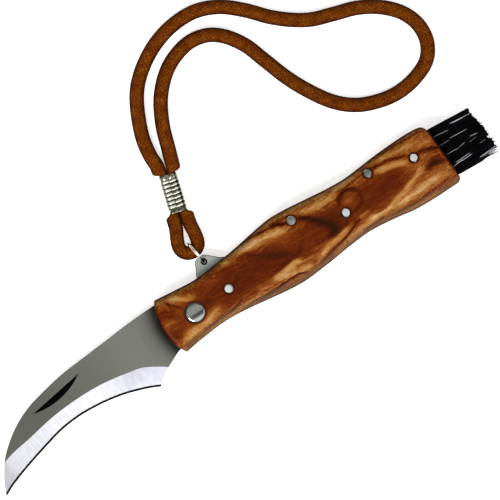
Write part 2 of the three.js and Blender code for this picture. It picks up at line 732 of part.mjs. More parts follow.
// A cord's tube: a many-sided section drawn along a path.
function tube(path, diameter, steps) {
  const corners = [];
  for (let k = 0; k < CORD_SIDES; k += 1) {
    const angle = (k * 2 * Math.PI) / CORD_SIDES;
    corners.push(new THREE.Vector2(Math.cos(angle), Math.sin(angle)).multiplyScalar(diameter / 2));
  }
  return new THREE.ExtrudeGeometry(new THREE.Shape(corners), { steps, extrudePath: path, bevelEnabled: false });
}

// The eye's centre line: down one strand, round the ring and up the other strand.
function eyePath() {
  const end = EYE_LENGTH - FIT_GAP;
  const mouth = (EYE_CORD_D + STRAND_GAP) / 2;
  const points = [new THREE.Vector3(-mouth, end, 0)];
  for (const [up, out] of [...EYE_LEFT_SHARES].reverse()) {
    points.push(new THREE.Vector3(-out * EYE_BEND_R, up * EYE_LENGTH, 0));
  }
  for (let k = 0; k <= 6; k += 1) {
    const angle = Math.PI + (k * Math.PI) / 6;
    points.push(new THREE.Vector3(EYE_BEND_R * Math.cos(angle), EYE_BEND_R * Math.sin(angle), 0));
  }
  for (const [up, out] of EYE_RIGHT_SHARES) {
    points.push(new THREE.Vector3(out * EYE_BEND_R, up * EYE_LENGTH, 0));
  }
  points.push(new THREE.Vector3(mouth, end, 0));
  return new THREE.CatmullRomCurve3(points, false, 'centripetal');
}

// One section of the crimp: two lobes with a valley between them, drawn in by a depth.
function crimpRing(along, inset) {
  const halfWidth = CRIMP_WIDTH / 2 - inset;
  const halfThick = CRIMP_THICK / 2 - inset;
  const points = [];
  for (let k = 0; k < 16; k += 1) {
    const angle = (k * 2 * Math.PI) / 16;
    const out = Math.cos(angle);
    const valley = 1 - VALLEY_SHARE * (1 - Math.abs(out)) ** 2;
    const lobe = Math.sign(Math.sin(angle)) * Math.abs(Math.sin(angle)) ** 0.75;
    points.push(new THREE.Vector3(halfWidth * out, along, halfThick * lobe * valley));
  }
  return points;
}

// The ribbed crimp: a plain band at each end and ribs with grooves between.
function crimp() {
  const ribbed = CRIMP_LENGTH - 2 * CRIMP_BAND;
  const pitch = ribbed / CRIMP_RIBS;
  const rings = [crimpRing(0, CRIMP_GROOVE / 2), crimpRing(CRIMP_GROOVE / 2, 0)];
  for (let k = 0; k <= CRIMP_RIBS; k += 1) {
    const at = CRIMP_BAND + k * pitch;
    const ease = pitch / 9;
    const half = pitch / 4;
    rings.push(crimpRing(at - half, 0), crimpRing(at - half + ease, CRIMP_GROOVE));
    rings.push(crimpRing(at + half - ease, CRIMP_GROOVE), crimpRing(at + half, 0));
  }
  rings.push(crimpRing(CRIMP_LENGTH - CRIMP_GROOVE / 2, 0), crimpRing(CRIMP_LENGTH, CRIMP_GROOVE / 2));
  return loft(rings);
}

function loopPath() {
  const mouth = (CORD_D + STRAND_GAP) / 2;
  const ends = [new THREE.Vector3(-mouth, 0, 0), new THREE.Vector3(mouth, 0, 0)];
  const middle = LOOP_POINTS.map(([across, along]) => new THREE.Vector3(across, along, 0));
  return new THREE.CatmullRomCurve3([ends[0], ...middle, ends[1]], false, 'centripetal');
}

// The lanyard's group sits on the ring's far side. The eye and the crimp slope down to the surface.
function lanyardGroup() {
  const lean = radians(RING_LEAN_DEG);
  const reach = 2 * RING_R + FIT_GAP / 2;
  const bendZ = EAR_Z - FIT_GAP;
  const endZ = CRIMP_THICK / 2 + FLOOR_GAP;
  const slope = Math.asin((bendZ - endZ) / (EYE_LENGTH + CRIMP_LENGTH));

  const group = new THREE.Group();
  group.position.set(EAR_HOLE.x - reach * Math.sin(lean), EAR_HOLE.y + reach * Math.cos(lean), bendZ);
  group.rotation.z = -radians(LANYARD_LEAN_DEG);

  const sloped = new THREE.Group();
  sloped.rotation.x = -slope;
  sloped.add(named('lanyard_eye', tube(eyePath(), EYE_CORD_D, EYE_STEPS), MATERIALS.cord));
  const crimpMesh = named('cord_crimp', crimp(), MATERIALS.crimp);
  crimpMesh.position.y = EYE_LENGTH;
  sloped.add(crimpMesh);
  group.add(sloped);

  const loop = named('lanyard_loop', tube(loopPath(), CORD_D, LOOP_STEPS), MATERIALS.cord);
  const past = (CRIMP_THICK / 2) * Math.sin(slope) + FIT_GAP;
  loop.position.y = (EYE_LENGTH + CRIMP_LENGTH) * Math.cos(slope) + past;
  loop.position.z = CORD_D / 2 + FLOOR_GAP - bendZ;
  group.add(loop);
  return group;
}

// Assembly.

const knife = new THREE.Group();

const handle = new THREE.Group();
handle.add(solidMesh('rear_scale', scale(0, SCALE_THICK), MATERIALS.wood));
handle.add(solidMesh('front_scale', scale(FRONT_SCALE_Z, STACK), MATERIALS.wood));
handle.add(solidMesh('rear_liner', earedLiner(REAR_LINER_Z, GAP_Z), MATERIALS.liner));
handle.add(solidMesh('front_liner', liner(FRONT_LINER_Z, FRONT_SCALE_Z), MATERIALS.liner));
handle.add(solidMesh('back_spring', backSpring(), MATERIALS.liner));
handle.add(solidMesh('pivot_bolt', pivotBolt(), MATERIALS.pin));
handle.add(solidMesh('pivot_nut', pivotNut(), MATERIALS.pin));
handle.add(solidMesh('spring_pin', flushPin(SPRING_PIN, 0, STACK), MATERIALS.pin));
handle.add(solidMesh('spring_rear_pin', flushPin(SPRING_REAR_PIN, 0, STACK), MATERIALS.pin));
handle.add(solidMesh('brush_pin', flushPin(BRUSH_PIN, 0, STACK), MATERIALS.pin));
handle.add(solidMesh('front_rivet_upper', flushPin(FRONT_RIVET, FRONT_LINER_Z, STACK), MATERIALS.pin));
handle.add(solidMesh('front_rivet_lower', flushPin(FRONT_RIVET, 0, GAP_Z), MATERIALS.pin));
handle.add(solidMesh('rear_rivet_upper', flushPin(REAR_RIVET, FRONT_LINER_Z, STACK), MATERIALS.pin));
handle.add(solidMesh('rear_rivet_lower', flushPin(REAR_RIVET, 0, GAP_Z), MATERIALS.pin));
handle.add(solidMesh('brush_block', brushBlock(), MATERIALS.block));
handle.add(solidMesh('bristles', bristles(), MATERIALS.bristle));
knife.add(handle);

const bladeGroup = new THREE.Group();
bladeGroup.position.z = MIDDLE_Z;
bladeGroup.add(blade());
knife.add(bladeGroup);

knife.add(ringGroup());
knife.add(lanyardGroup());

export default knife;
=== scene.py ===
"""A folding mushroom knife, open on a pale floor, with a brush and a braided lanyard.

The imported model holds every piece's place; the classes here give each its fine surface and finish.
Lengths are metres in the model's frame: X towards the brush, Y towards the spine, Z up.
"""

import logging
import math
from dataclasses import dataclass, field
from enum import Enum
from typing import Callable, Sequence

import bpy
import numpy as np
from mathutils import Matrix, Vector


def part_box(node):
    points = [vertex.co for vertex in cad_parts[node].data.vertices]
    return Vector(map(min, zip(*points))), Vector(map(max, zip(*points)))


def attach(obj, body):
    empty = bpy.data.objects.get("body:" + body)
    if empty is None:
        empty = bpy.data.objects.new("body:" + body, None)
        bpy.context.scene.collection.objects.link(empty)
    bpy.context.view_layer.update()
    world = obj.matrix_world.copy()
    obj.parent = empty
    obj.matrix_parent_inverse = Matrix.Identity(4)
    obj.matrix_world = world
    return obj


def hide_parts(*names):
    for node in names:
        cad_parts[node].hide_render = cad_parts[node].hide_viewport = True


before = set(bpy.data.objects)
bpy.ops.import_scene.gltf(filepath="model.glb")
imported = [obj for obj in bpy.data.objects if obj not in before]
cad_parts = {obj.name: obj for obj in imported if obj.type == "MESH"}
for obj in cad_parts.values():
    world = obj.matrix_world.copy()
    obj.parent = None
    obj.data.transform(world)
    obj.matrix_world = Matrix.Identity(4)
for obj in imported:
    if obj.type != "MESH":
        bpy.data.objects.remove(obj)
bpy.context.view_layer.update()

MM = 0.001
OVERRUN = 2 * MM
PIVOT = np.zeros(2)
LOG = logging.getLogger("knife")
Array = np.ndarray
Finish = bpy.types.Material
Piece = bpy.types.Object
Socket = bpy.types.NodeSocket


class Slot(Enum):
    """The material slots of the pieces."""

    WOOD = "wood"
    SATIN_STEEL = "satin_steel"
    BLADE_STEEL = "blade_steel"
    POLISHED_STEEL = "polished_steel"
    PLATED_WIRE = "plated_wire"
    BLACK_PLASTIC = "black_plastic"
    BRISTLE = "bristle"
    BRAIDED_CORD = "braided_cord"


# Curves.


def follow(shares: Array, place: Array) -> Array:
    """Heights of a smooth curve through a table.

    Between two rows it is a cubic, whose end slopes look across the neighbouring rows.

    Args:
        shares: rows of place and height, places rising.
        place: where the heights are wanted.

    Returns:
        One height for each place.
    """
    x, y = shares.T
    slope = np.gradient(y, x)
    slope[1:-1] = (y[2:] - y[:-2]) / (x[2:] - x[:-2])
    k = np.clip(np.searchsorted(x, place) - 1, 0, len(x) - 2)
    span = x[k + 1] - x[k]
    t = (place - x[k]) / span
    s = 1 - t
    ends = y[k] * s * s * (1 + 2 * t) + y[k + 1] * t * t * (1 + 2 * s)
    return ends + span * (slope[k] * t * s * s - slope[k + 1] * t * t * s)


def through(points: Array, count: int, power: float = 0.5) -> Array:
    """A smooth curve through points: each stretch is a cubic whose end slopes look across the neighbours.

    Args:
        points: the points, one a row.
        count: how many points of the curve are wanted, evenly spaced along its length.
        power: 0.5 spaces the knots by the root of the distance, 0 spaces them evenly.

    Returns:
        The curve's points.
    """
    ends = [2 * points[0] - points[1]], [2 * points[-1] - points[-2]]
    p = np.concatenate([ends[0], points, ends[1]])
    knots = np.maximum(np.linalg.norm(np.diff(p, axis=0), axis=1), 1e-9) ** power
    p0, p1, p2, p3 = (p[i : len(p) - 3 + i, None, :] for i in range(4))
    k0, k1, k2 = (knots[i : len(knots) - 2 + i, None, None] for i in range(3))
    a = ((p1 - p0) / k0 - (p2 - p0) / (k0 + k1) + (p2 - p1) / k1) * k1
    b = ((p2 - p1) / k1 - (p3 - p1) / (k1 + k2) + (p3 - p2) / k2) * k1
    t = np.linspace(0, 1, 24, endpoint=False)[None, :, None]
    curve = p1 + a * t + (3 * (p2 - p1) - 2 * a - b) * t**2 + (2 * (p1 - p2) + a + b) * t**3
    curve = np.concatenate([curve.reshape(-1, p.shape[1]), points[-1:]])
    return even(curve, count)


def even(curve: Array, count: int) -> Array:
    """The same curve with its points evenly spaced along its length.

    Args:
        curve: its points, one a row.
        count: how many points are wanted.

    Returns:
        The new points.
    """
    run = np.concatenate([[0], np.cumsum(np.linalg.norm(np.diff(curve, axis=0), axis=1))])
    wanted = np.linspace(0, run[-1], count)
    return np.stack([np.interp(wanted, run, column) for column in curve.T], axis=1)


def unit(vector: Array) -> Array:
    """The vector's direction, with a length of one."""
    return vector / np.linalg.norm(vector)


def length_of(curve: Array) -> float:
    """Length of a curve through its points."""
    return float(np.linalg.norm(np.diff(curve, axis=0), axis=1).sum())


def angles(count: int) -> Array:
    """Angles round a circle, evenly spaced."""
    return np.linspace(0, 2 * math.pi, count, endpoint=False)


def sideways(curve: Array) -> Array:
    """Directions to the left of a flat curve, one for each of its points.

    Args:
        curve: its points, two numbers a row.

    Returns:
        The directions.
    """
    slope = np.gradient(curve, axis=0)
    across = np.stack([-slope[:, 1], slope[:, 0]], axis=1)
    return across / np.linalg.norm(across, axis=1)[:, None]


def apart(points: Array, place: Sequence[float]) -> Array:
    """Distance of each point from a place, seen from above."""
    return np.hypot(*(points[:, :2] - place).T)


def lifted(outline: Array, height: float) -> Array:
    """The points of a flat outline, at a height."""
    return np.column_stack([outline, np.full(len(outline), height)])


# Surfaces.


@dataclass
class Surface:
    """Points and faces of a mesh. Each array of faces holds faces with the same number of corners."""

    points: Array
    faces: list[Array]

    def volume(self) -> float:
        """Signed volume: the sum of the tetrahedra between each triangle of a face and the origin.

        Returns:
            The volume, which is below zero where the faces point inwards.
        """
        total = 0.0
        for faces in self.faces:
            p = self.points[faces]
            for k in range(1, faces.shape[1] - 1):
                total += float(np.einsum("ij,ij->i", p[:, 0], np.cross(p[:, k], p[:, k + 1])).sum()) / 6
        return total

    def outward(self) -> "Surface":
        """The same surface with its faces pointing out."""
        return self if self.volume() >= 0 else Surface(self.points, [f[:, ::-1] for f in self.faces])

    def joined(self, *others: "Surface") -> "Surface":
        """This surface and others as one.

        Args:
            others: the surfaces whose points follow this one's.

        Returns:
            The new surface.
        """
        points, faces = [self.points], list(self.faces)
        for other in others:
            start = sum(len(p) for p in points)
            faces += [f + start for f in other.faces]
            points.append(other.points)
        return Surface(np.concatenate(points), faces)

    def piece(self, name: str) -> Piece:
        """Puts the surface into a new object at the origin.

        Args:
            name: the object's name.

        Returns:
            The new object.
        """
        mesh = bpy.data.meshes.new(name)
        corners = np.concatenate([f.ravel() for f in self.faces]).astype(np.int32)
        counts = np.concatenate([np.full(len(f), f.shape[1]) for f in self.faces])
        starts = np.concatenate([[0], np.cumsum(counts)[:-1]]).astype(np.int32)
        mesh.vertices.add(len(self.points))
        mesh.vertices.foreach_set("co", self.points.astype(np.float32).ravel())
        mesh.loops.add(len(corners))
        mesh.loops.foreach_set("vertex_index", corners)
        mesh.polygons.add(len(counts))
        mesh.polygons.foreach_set("loop_start", starts)
        mesh.update(calc_edges=True)
        mesh.validate()
        made = bpy.data.objects.new(name, mesh)
        bpy.context.scene.collection.objects.link(made)
        return made


def grid_faces(rows: int, columns: int, around: bool = False, over: bool = False) -> Array:
    """Four-cornered faces of a grid of points, row by row.

    Args:
        rows: how many rows.
        columns: how many points in a row.
        around: whether each row closes on itself.
        over: whether the last row meets the first.

    Returns:
        Corner numbers, four to a face.
    """
    i, j = np.meshgrid(np.arange(rows - (not over)), np.arange(columns - (not around)), indexing="ij")
    after, above = (j + 1) % columns, (i + 1) % rows
    corners = [i * columns + j, i * columns + after, above * columns + after, above * columns + j]
    return np.stack(corners, axis=-1).reshape(-1, 4)


def tube(rings: Array) -> Surface:
    """A profile carried along a path: rings of points joined side to side, with a flat face on each end.

    Args:
        rings: rings by points by three.

    Returns:
        The closed surface.
    """
    rows, columns = rings.shape[:2]
    first = np.arange(columns)[None, ::-1]
    last = np.arange(columns)[None, :] + (rows - 1) * columns
    return Surface(rings.reshape(-1, 3), [grid_faces(rows, columns, around=True), first, last]).outward()


def turned(profile: Array, centre: Array, sides: int = 72) -> Surface:
    """A profile of radius and height turned round an upright axis.

    Args:
        profile: rows of radius and height, ending close to the axis.
        centre: place of the axis in X and Y.
        sides: how many points go round.

    Returns:
        The closed surface.
    """
    angle = angles(sides)
    radius, height = profile[:, 0, None], profile[:, 1, None]
    x = centre[0] + radius * np.cos(angle)
    y = centre[1] + radius * np.sin(angle)
    return tube(np.stack([x, y, np.broadcast_to(height, x.shape)], axis=-1))


def drill(radius: float, low: float, high: float, place: Array, sides: int = 72) -> Surface:
    """A round bar between two heights, to add or to cut with."""
    return turned(np.array([[radius, low], [radius, high]]), place, sides)


def slab(face: Array, flat: float, levels: int = 4) -> Surface:
    """A curved face, walls straight down from its rim, and a flat back.

    Args:
        face: grid of points of the curved face, rows by columns by three.
        flat: height of the flat back.
        levels: how many faces the walls have from rim to back.

    Returns:
        The closed surface.
    """
    rows, columns, _ = face.shape
    number = np.arange(rows * columns).reshape(rows, columns)
    rim = np.concatenate([number[0, :-1], number[:-1, -1], number[-1, :0:-1], number[:0:-1, 0]])
    top = face.reshape(-1, 3)
    share = np.arange(1, levels + 1)[:, None] / levels
    walls = np.repeat(top[rim][None], levels, axis=0)
    walls[..., 2] += share * (flat - walls[..., 2])
    points = np.concatenate([top, walls.reshape(-1, 3)])
    rings = np.concatenate([rim[None], len(top) + np.arange(levels * len(rim)).reshape(levels, -1)])
    after = np.roll(rings, -1, axis=1)
    sides = np.stack([rings[:-1], rings[1:], after[1:], after[:-1]], axis=-1).reshape(-1, 4)
    back = rings[-1][None, :]
    return Surface(points, [grid_faces(rows, columns), sides, back]).outward()


def prism(outline: Array, low: float, high: float) -> Surface:
    """A straight-sided solid over an outline, between two heights."""
    return tube(np.stack([lifted(outline, low), lifted(outline, high)]))


def cuboid(x: tuple[float, float], y: tuple[float, float], z: tuple[float, float]) -> Surface:
    """A block between two places along each axis."""
    return prism(np.array([[x[0], y[0]], [x[1], y[0]], [x[1], y[1]], [x[0], y[1]]]), *z)


def carve(body: Piece, operation: str, *tools: Surface) -> Piece:
    """Joins surfaces to a piece, cuts them out of it or keeps what they share, one after another.

    Args:
        body: the piece.
        operation: "UNION", "DIFFERENCE" or "INTERSECT".
        tools: the surfaces.

    Returns:
        The same piece with its new mesh.
    """
    for surface in tools:
        tool = surface.piece("tool")
        modifier = body.modifiers.new("carve", "BOOLEAN")
        modifier.operation, modifier.solver, modifier.object = operation, "EXACT", tool
        graph = bpy.context.evaluated_depsgraph_get()
        mesh = bpy.data.meshes.new_from_object(body.evaluated_get(graph))
        body.modifiers.clear()
        spent = (body.data, tool.data)
        body.data = mesh
        bpy.data.objects.remove(tool)
        for old in spent:
            bpy.data.meshes.remove(old)
    body.data.name = body.name
    return body


def values(items: bpy.types.bpy_prop_collection, name: str) -> Array:
    """Three numbers of each point or face of a mesh.

    Args:
        items: the mesh's points or faces.
        name: "co", "center" or "normal".

    Returns:
        The numbers, one item a row.
    """
    flat = np.empty(len(items) * 3, np.float32)
    items.foreach_get(name, flat)
    return flat.reshape(-1, 3).astype(float)


def coat(piece: Piece, finishes: Sequence[Finish], which: Array) -> None:
    """Gives each face of a piece one of several finishes.

    Args:
        piece: the piece.
        finishes: the finishes.
        which: the number of each face's finish.
    """
    for finish in finishes:
        piece.data.materials.append(finish)
    piece.data.polygons.foreach_set("material_index", which.astype(np.int32))


def paint(piece: Piece, name: str, numbers: Array) -> None:
    """Keeps one number for each point of a piece, for its material to read."""
    attribute = piece.data.attributes.new(name, "FLOAT", "POINT")
    attribute.data.foreach_set("value", numbers.astype(np.float32))


def dress(piece: Piece, material: Finish, slot: Slot, body: str, node: str,
          crease: float = 35) -> Piece:
    """Gives a piece its finish, smooth shading and its place in the model.

    Args:
        piece: the piece.
        material: its finish.
        slot: the slot that the finish belongs to; it is not used.
        body: the body that it moves with.
        node: the node that it stands for.
        crease: edges sharper than this many degrees stay sharp.

    Returns:
        The same piece.
    """
    if not piece.data.materials:
        piece.data.materials.append(material)
    piece.data.polygons.foreach_set("use_smooth", [True] * len(piece.data.polygons))
    piece.data.set_sharp_from_angle(angle=math.radians(crease))
    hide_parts(node)
    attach(piece, body)
    faces = sum(len(p.vertices) - 2 for p in piece.data.polygons)
    LOG.info("%s: %d triangles on %s", piece.name, faces, body)
    return piece


# Finishes.


class Shader:
    """Adds and joins the nodes of a material or world. An input is a number, colour or node's output."""

    def __init__(self, owner: Finish | bpy.types.World) -> None:
        """Empties a new material or world.

        Args:
            owner: the material or world.
        """
        self.owner = owner
        owner.use_nodes = True
        self.tree = owner.node_tree
        self.tree.nodes.clear()

    def node(self, kind: str, inputs: dict[str | int, object] | None = None,
             **settings: object) -> bpy.types.Node:
        """Adds a node.

        Args:
            kind: the node's type name, without the leading word Shader.
            inputs: values or outputs for its inputs.
            settings: the node's own properties.

        Returns:
            The node.
        """
        made = self.tree.nodes.new("ShaderNode" + kind)
        for key, value in settings.items():
            setattr(made, key, value)
        for key, value in (inputs or {}).items():
            if isinstance(value, Socket):
                self.tree.links.new(value, made.inputs[key])
            else:
                made.inputs[key].default_value = value
        return made

    def place(self) -> Socket:
        """Place on the object, in millimetres."""
        return self.stretch(self.node("TexCoord").outputs["Object"], (1 / MM,) * 3)

    def parts(self, vector: Socket) -> tuple[Socket, Socket, Socket]:
        """The X, Y and Z of a vector."""
        split = self.node("SeparateXYZ", {0: vector})
        return split.outputs[0], split.outputs[1], split.outputs[2]

    def vector(self, x: Socket, slow: float, y: Socket, z: Socket) -> Socket:
        """A vector of three numbers, the first of them scaled."""
        return self.node("CombineXYZ", {0: self.math("MULTIPLY", x, slow), 1: y, 2: z}).outputs[0]

    def value(self, name: str) -> Socket:
        """A number kept at each point of the piece."""
        return self.node("Attribute", attribute_name=name).outputs["Fac"]

    def math(self, operation: str, a: Socket | float, b: Socket | float = 0) -> Socket:
        """Sum, product or another operation on two numbers."""
        return self.node("Math", {0: a, 1: b}, operation=operation).outputs[0]

    def stirred(self, value: Socket, noise: Socket, middle: float, strength: Socket | float) -> Socket:
        """A value moved up and down by noise about its middle."""
        move = self.math("MULTIPLY", self.math("SUBTRACT", noise, middle), strength)
        return self.math("ADD", value, move)

    def stretch(self, vector: Socket, by: Sequence[float]) -> Socket:
        """A vector times a number for each axis."""
        return self.node("Mapping", {"Vector": vector, "Scale": by}).outputs[0]

    def noise(self, vector: Socket, scale: float = 1, detail: float = 3, rough: float = 0.5,
              warp: float = 0) -> Socket:
        """Cloudy noise between 0 and 1."""
        made = {"Vector": vector, "Scale": scale, "Detail": detail, "Roughness": rough, "Distortion": warp}
        return self.node("TexNoise", made).outputs["Fac"]

    def spread(self, value: Socket, low: float, high: float, to_low: Socket | float = 0,
               to_high: float = 1) -> Socket:
        """A range of numbers spread over another range, and held inside it."""
        inputs = {"Value": value, 1: low, 2: high, 3: to_low, 4: to_high}
        return self.node("MapRange", inputs).outputs[0]

    def ramp(self, value: Socket, stops: Sequence[tuple[float, Sequence[float] | float]]) -> Socket:
        """Colours along a scale.

        Args:
            value: place on the scale.
            stops: pairs of a place and a colour or a grey.

        Returns:
            The colour.
        """
        made = self.node("ValToRGB", {0: value})
        elements = made.color_ramp.elements
        while len(elements) < len(stops):
            elements.new(1)
        for element, (position, colour) in zip(elements, stops):
            element.position = position
            element.color = (*(colour if isinstance(colour, tuple) else (colour,) * 3), 1)
        return made.outputs[0]

    def mix(self, share: Socket | float, a: object, b: object, blend: str = "MIX") -> Socket:
        """Two colours mixed.

        Args:
            share: how much of the second.
            a: the first.
            b: the second.
            blend: how they mix.

        Returns:
            The mixed colour.
        """
        made = self.node("Mix", data_type="RGBA", blend_type=blend)
        for socket, value in zip((made.inputs[0], made.inputs[6], made.inputs[7]), (share, a, b)):
            if isinstance(value, Socket):
                self.tree.links.new(value, socket)
            else:
                socket.default_value = value if isinstance(value, (int, float)) else (*value, 1)
        return made.outputs[2]

    def bump(self, height: Socket, depth: float) -> Socket:
        """Surface normals of a small relief, whose full height is a depth in metres."""
        return self.node("Bump", {"Height": height, "Distance": depth, "Strength": 1}).outputs[0]

    def finish(self, **inputs: object) -> Finish:
        """Ends the material in one surface shader.

        Args:
            inputs: the shader's inputs, with underscores for spaces.

        Returns:
            The material.
        """
        named = {key.replace("_", " "): value for key, value in inputs.items()}
        for key, value in named.items():
            if isinstance(value, tuple) and len(value) == 3:
                named[key] = (*value, 1)
        surface = self.node("BsdfPrincipled", named)
        self.node("OutputMaterial", {"Surface": surface.outputs[0]})
        return self.owner


@dataclass(frozen=True)
class Wood:
    """Varnished figured wood. Its streaks follow the grain kept at the piece's points, its shades the tone.

    The value flank is 1 at the spine's rim, where painted shade dims the wood to olive, and -1 at the
    belly's, where a painted sheen pales it.
    """

    name: str = "varnished_wood"
    # Painted shade: the colour that the wood on the spine's side is multiplied by.
    olive: tuple[float, float, float] = (0.42, 0.5, 0.62)
    # Painted sheen: the pale colour mixed into the wood on the belly's side.
    pale: tuple[float, float, float] = (0.13, 0.083, 0.046)

    def material(self) -> Finish:
        """Builds the finish.

        Returns:
            The material.
        """
        s = Shader(bpy.data.materials.new(self.name))
        x, y, z = s.parts(s.place())
        grain = s.value("grain")
        depth = s.math("MULTIPLY", z, 0.3)
        wander = s.noise(s.vector(x, 0.1, s.math("MULTIPLY", y, 0.25), depth), 1, 3)
        across = s.math("ADD", grain, s.math("MULTIPLY", wander, 1.2))
        streaks = s.noise(s.vector(x, 0.13, across, depth), 1.3, 5, 0.6, 0.3)
        fibres = s.noise(s.vector(x, 0.2, across, depth), 4.2, 4, 0.7, 0.15)
        curls = s.noise(s.vector(x, 0.5, across, depth), 1.1, 3, 0.55, 0.8)
        pores = s.noise(s.vector(x, 0.16, grain, depth), 5.5, 2, 0.5)
        flank_light = s.value("flank_light")
        calm = s.value("calm")
        light = s.value("tone")
        for noise, rough, smooth in ((streaks, 1.25, 0.8), (fibres, 1.2, 0.35), (curls, 0.55, 0.3)):
            light = s.stirred(light, noise, 0.5, s.spread(calm, 0, 1, rough, smooth))
        light = s.stirred(light, fibres, 0.5, s.math("MULTIPLY", s.math("ABSOLUTE", flank_light), 1.6))
        dots = s.spread(pores, 0.28, 0.42, s.spread(calm, 0, 1, 0.5, 0.15), 0)
        light = s.math("SUBTRACT", light, dots)
        colour = s.ramp(s.spread(light, -1.2, 1.0), [
            (0.0, (0.009, 0.0028, 0.0014)), (0.2, (0.026, 0.0048, 0.001)), (0.38, (0.072, 0.0085, 0.0007)),
            (0.5, (0.125, 0.0205, 0.0018)), (0.62, (0.22, 0.06, 0.008)), (0.75, (0.335, 0.137, 0.031)),
            (0.88, (0.41, 0.21, 0.07)), (1.0, (0.5, 0.31, 0.14)),
        ])
        # Painted light on the sides: shade dims the spine's side to olive, a sheen pales the belly's.
        dim = s.mix(s.spread(flank_light, 0.1, 0.9), (1, 1, 1), self.olive)
        colour = s.mix(1.0, colour, dim, "MULTIPLY")
        colour = s.mix(s.spread(flank_light, -0.9, -0.1, 0.6, 0), colour, self.pale)
        relief = s.math("ADD", s.math("MULTIPLY", fibres, 0.6), s.math("MULTIPLY", dots, -2))
        return s.finish(
            Base_Color=colour, Roughness=s.spread(streaks, 0.2, 0.8, 0.42, 0.56),
            Normal=s.bump(relief, 0.015 * MM), Coat_Weight=0.03, Coat_Roughness=0.16,
            Coat_Tint=(1, 0.7, 0.4), Specular_IOR_Level=0.05, Specular_Tint=(1, 0.6, 0.35),
        )


@dataclass(frozen=True)
class Steel:
    """Ground or polished steel with fine scratches that run along one axis."""

    name: str
    colour: tuple[float, float, float]
    roughness: float
    scratch: tuple[float, float, float] = (0.25, 9, 3)
    depth: float = 0.0025
    clouds: float = 0.12

    def material(self) -> Finish:
        """Builds the finish.

        Returns:
            The material.
        """
        s = Shader(bpy.data.materials.new(self.name))
        place = s.place()
        scratches = s.noise(s.stretch(place, self.scratch), 1, 4, 0.65)
        clouds = s.noise(place, 0.25, 3)
        dark = tuple(c * (1 - self.clouds) for c in self.colour)
        colour = s.mix(s.spread(clouds, 0.3, 0.7), dark, self.colour)
        colour = s.mix(s.spread(scratches, 0.25, 0.75, 0, 0.25), colour, dark)
        rough = s.spread(scratches, 0.2, 0.8, self.roughness * 0.85, self.roughness * 1.2)
        return s.finish(
            Base_Color=colour, Metallic=1.0, Roughness=rough, Normal=s.bump(scratches, self.depth * MM),
        )


@dataclass(frozen=True)
class Plated:
    """Plated metal. Its value shade runs from painted shade in the hollows to painted highlights on bars.
    """

    name: str = "plated_metal"

    def material(self) -> Finish:
        """Builds the finish.

        Returns:
            The material.
        """
        s = Shader(bpy.data.materials.new(self.name))
        place = s.place()
        clouds = s.noise(place, 1.6, 3)
        shade = s.stirred(s.value("shade"), clouds, 0.5, 0.5)
        colour = s.ramp(shade, [
            (0.0, (0.008, 0.008, 0.006)), (0.25, (0.14, 0.14, 0.09)), (0.5, (0.5, 0.49, 0.38)),
            (0.9, (0.97, 0.96, 0.9)),
        ])
        return s.finish(
            Base_Color=colour, Metallic=1.0, Roughness=0.2, Normal=s.bump(clouds, 0.006 * MM),
        )


@dataclass(frozen=True)
class Black:
    """Black plastic or nylon with a low sheen."""

    name: str
    roughness: float
    shine: float
    colour: tuple[float, float, float] = (0.004, 0.004, 0.0045)

    def material(self) -> Finish:
        """Builds the finish.

        Returns:
            The material.
        """
        s = Shader(bpy.data.materials.new(self.name))
        clouds = s.noise(s.place(), 1.4, 3)
        light = tuple(c * 2.4 for c in self.colour)
        return s.finish(
            Base_Color=s.mix(s.spread(clouds, 0.35, 0.7), self.colour, light),
            Roughness=s.spread(clouds, 0.3, 0.7, self.roughness, self.roughness * 1.3),
            Normal=s.bump(clouds, 0.01 * MM), Specular_IOR_Level=self.shine,
        )


@dataclass(frozen=True)
class Braid:
    """Braided cord. The relief of the strands is kept at each point, and yarn shows between. The colour
    darkens with the relief as painted shade, in the hollows between strands and along the cord's sides.
    """

    name: str = "braided_cord"

    def material(self) -> Finish:
        """Builds the finish.

        Returns:
            The material.
        """
        s = Shader(bpy.data.materials.new(self.name))
        place = s.place()
        relief = s.value("relief")
        # Painted shade: darker in the braid's hollows and along the cord's sides.
        light = s.math("MULTIPLY", s.math("ADD", relief, 0.12), 0.55)
        for scale, strength in ((7, 0.6), (1.4, 0.7), (0.4, 0.7)):
            light = s.stirred(light, s.noise(place, scale, 3, 0.6), 0.38, strength)
        colour = s.ramp(light, [
            (0.0, (0.005, 0.0008, 0.0002)), (0.3, (0.028, 0.0045, 0.0003)), (0.6, (0.082, 0.016, 0.0008)),
            (0.85, (0.15, 0.036, 0.0022)), (1.0, (0.23, 0.075, 0.01)),
        ])
        return s.finish(
            Base_Color=colour, Roughness=0.85, Normal=s.bump(s.noise(place, 7, 3, 0.6), 0.05 * MM),
            Sheen_Weight=0.01, Sheen_Roughness=0.5, Specular_IOR_Level=0.03, Specular_Tint=(1, 0.7, 0.5),
        )


@dataclass(frozen=True)
class Paper:
    """The pale floor. It glows a little, as a lit table does, so that shadows on it stay faint."""

    name: str = "pale_floor"
    glow: float = 0.6

    def material(self) -> Finish:
        """Builds the finish.

        Returns:
            The material.
        """
        s = Shader(bpy.data.materials.new(self.name))
        return s.finish(
            Base_Color=(0.9, 0.9, 0.9), Roughness=0.8, Specular_IOR_Level=0.1,
            Emission_Color=(1, 1, 1), Emission_Strength=self.glow,
        )


# Studio.


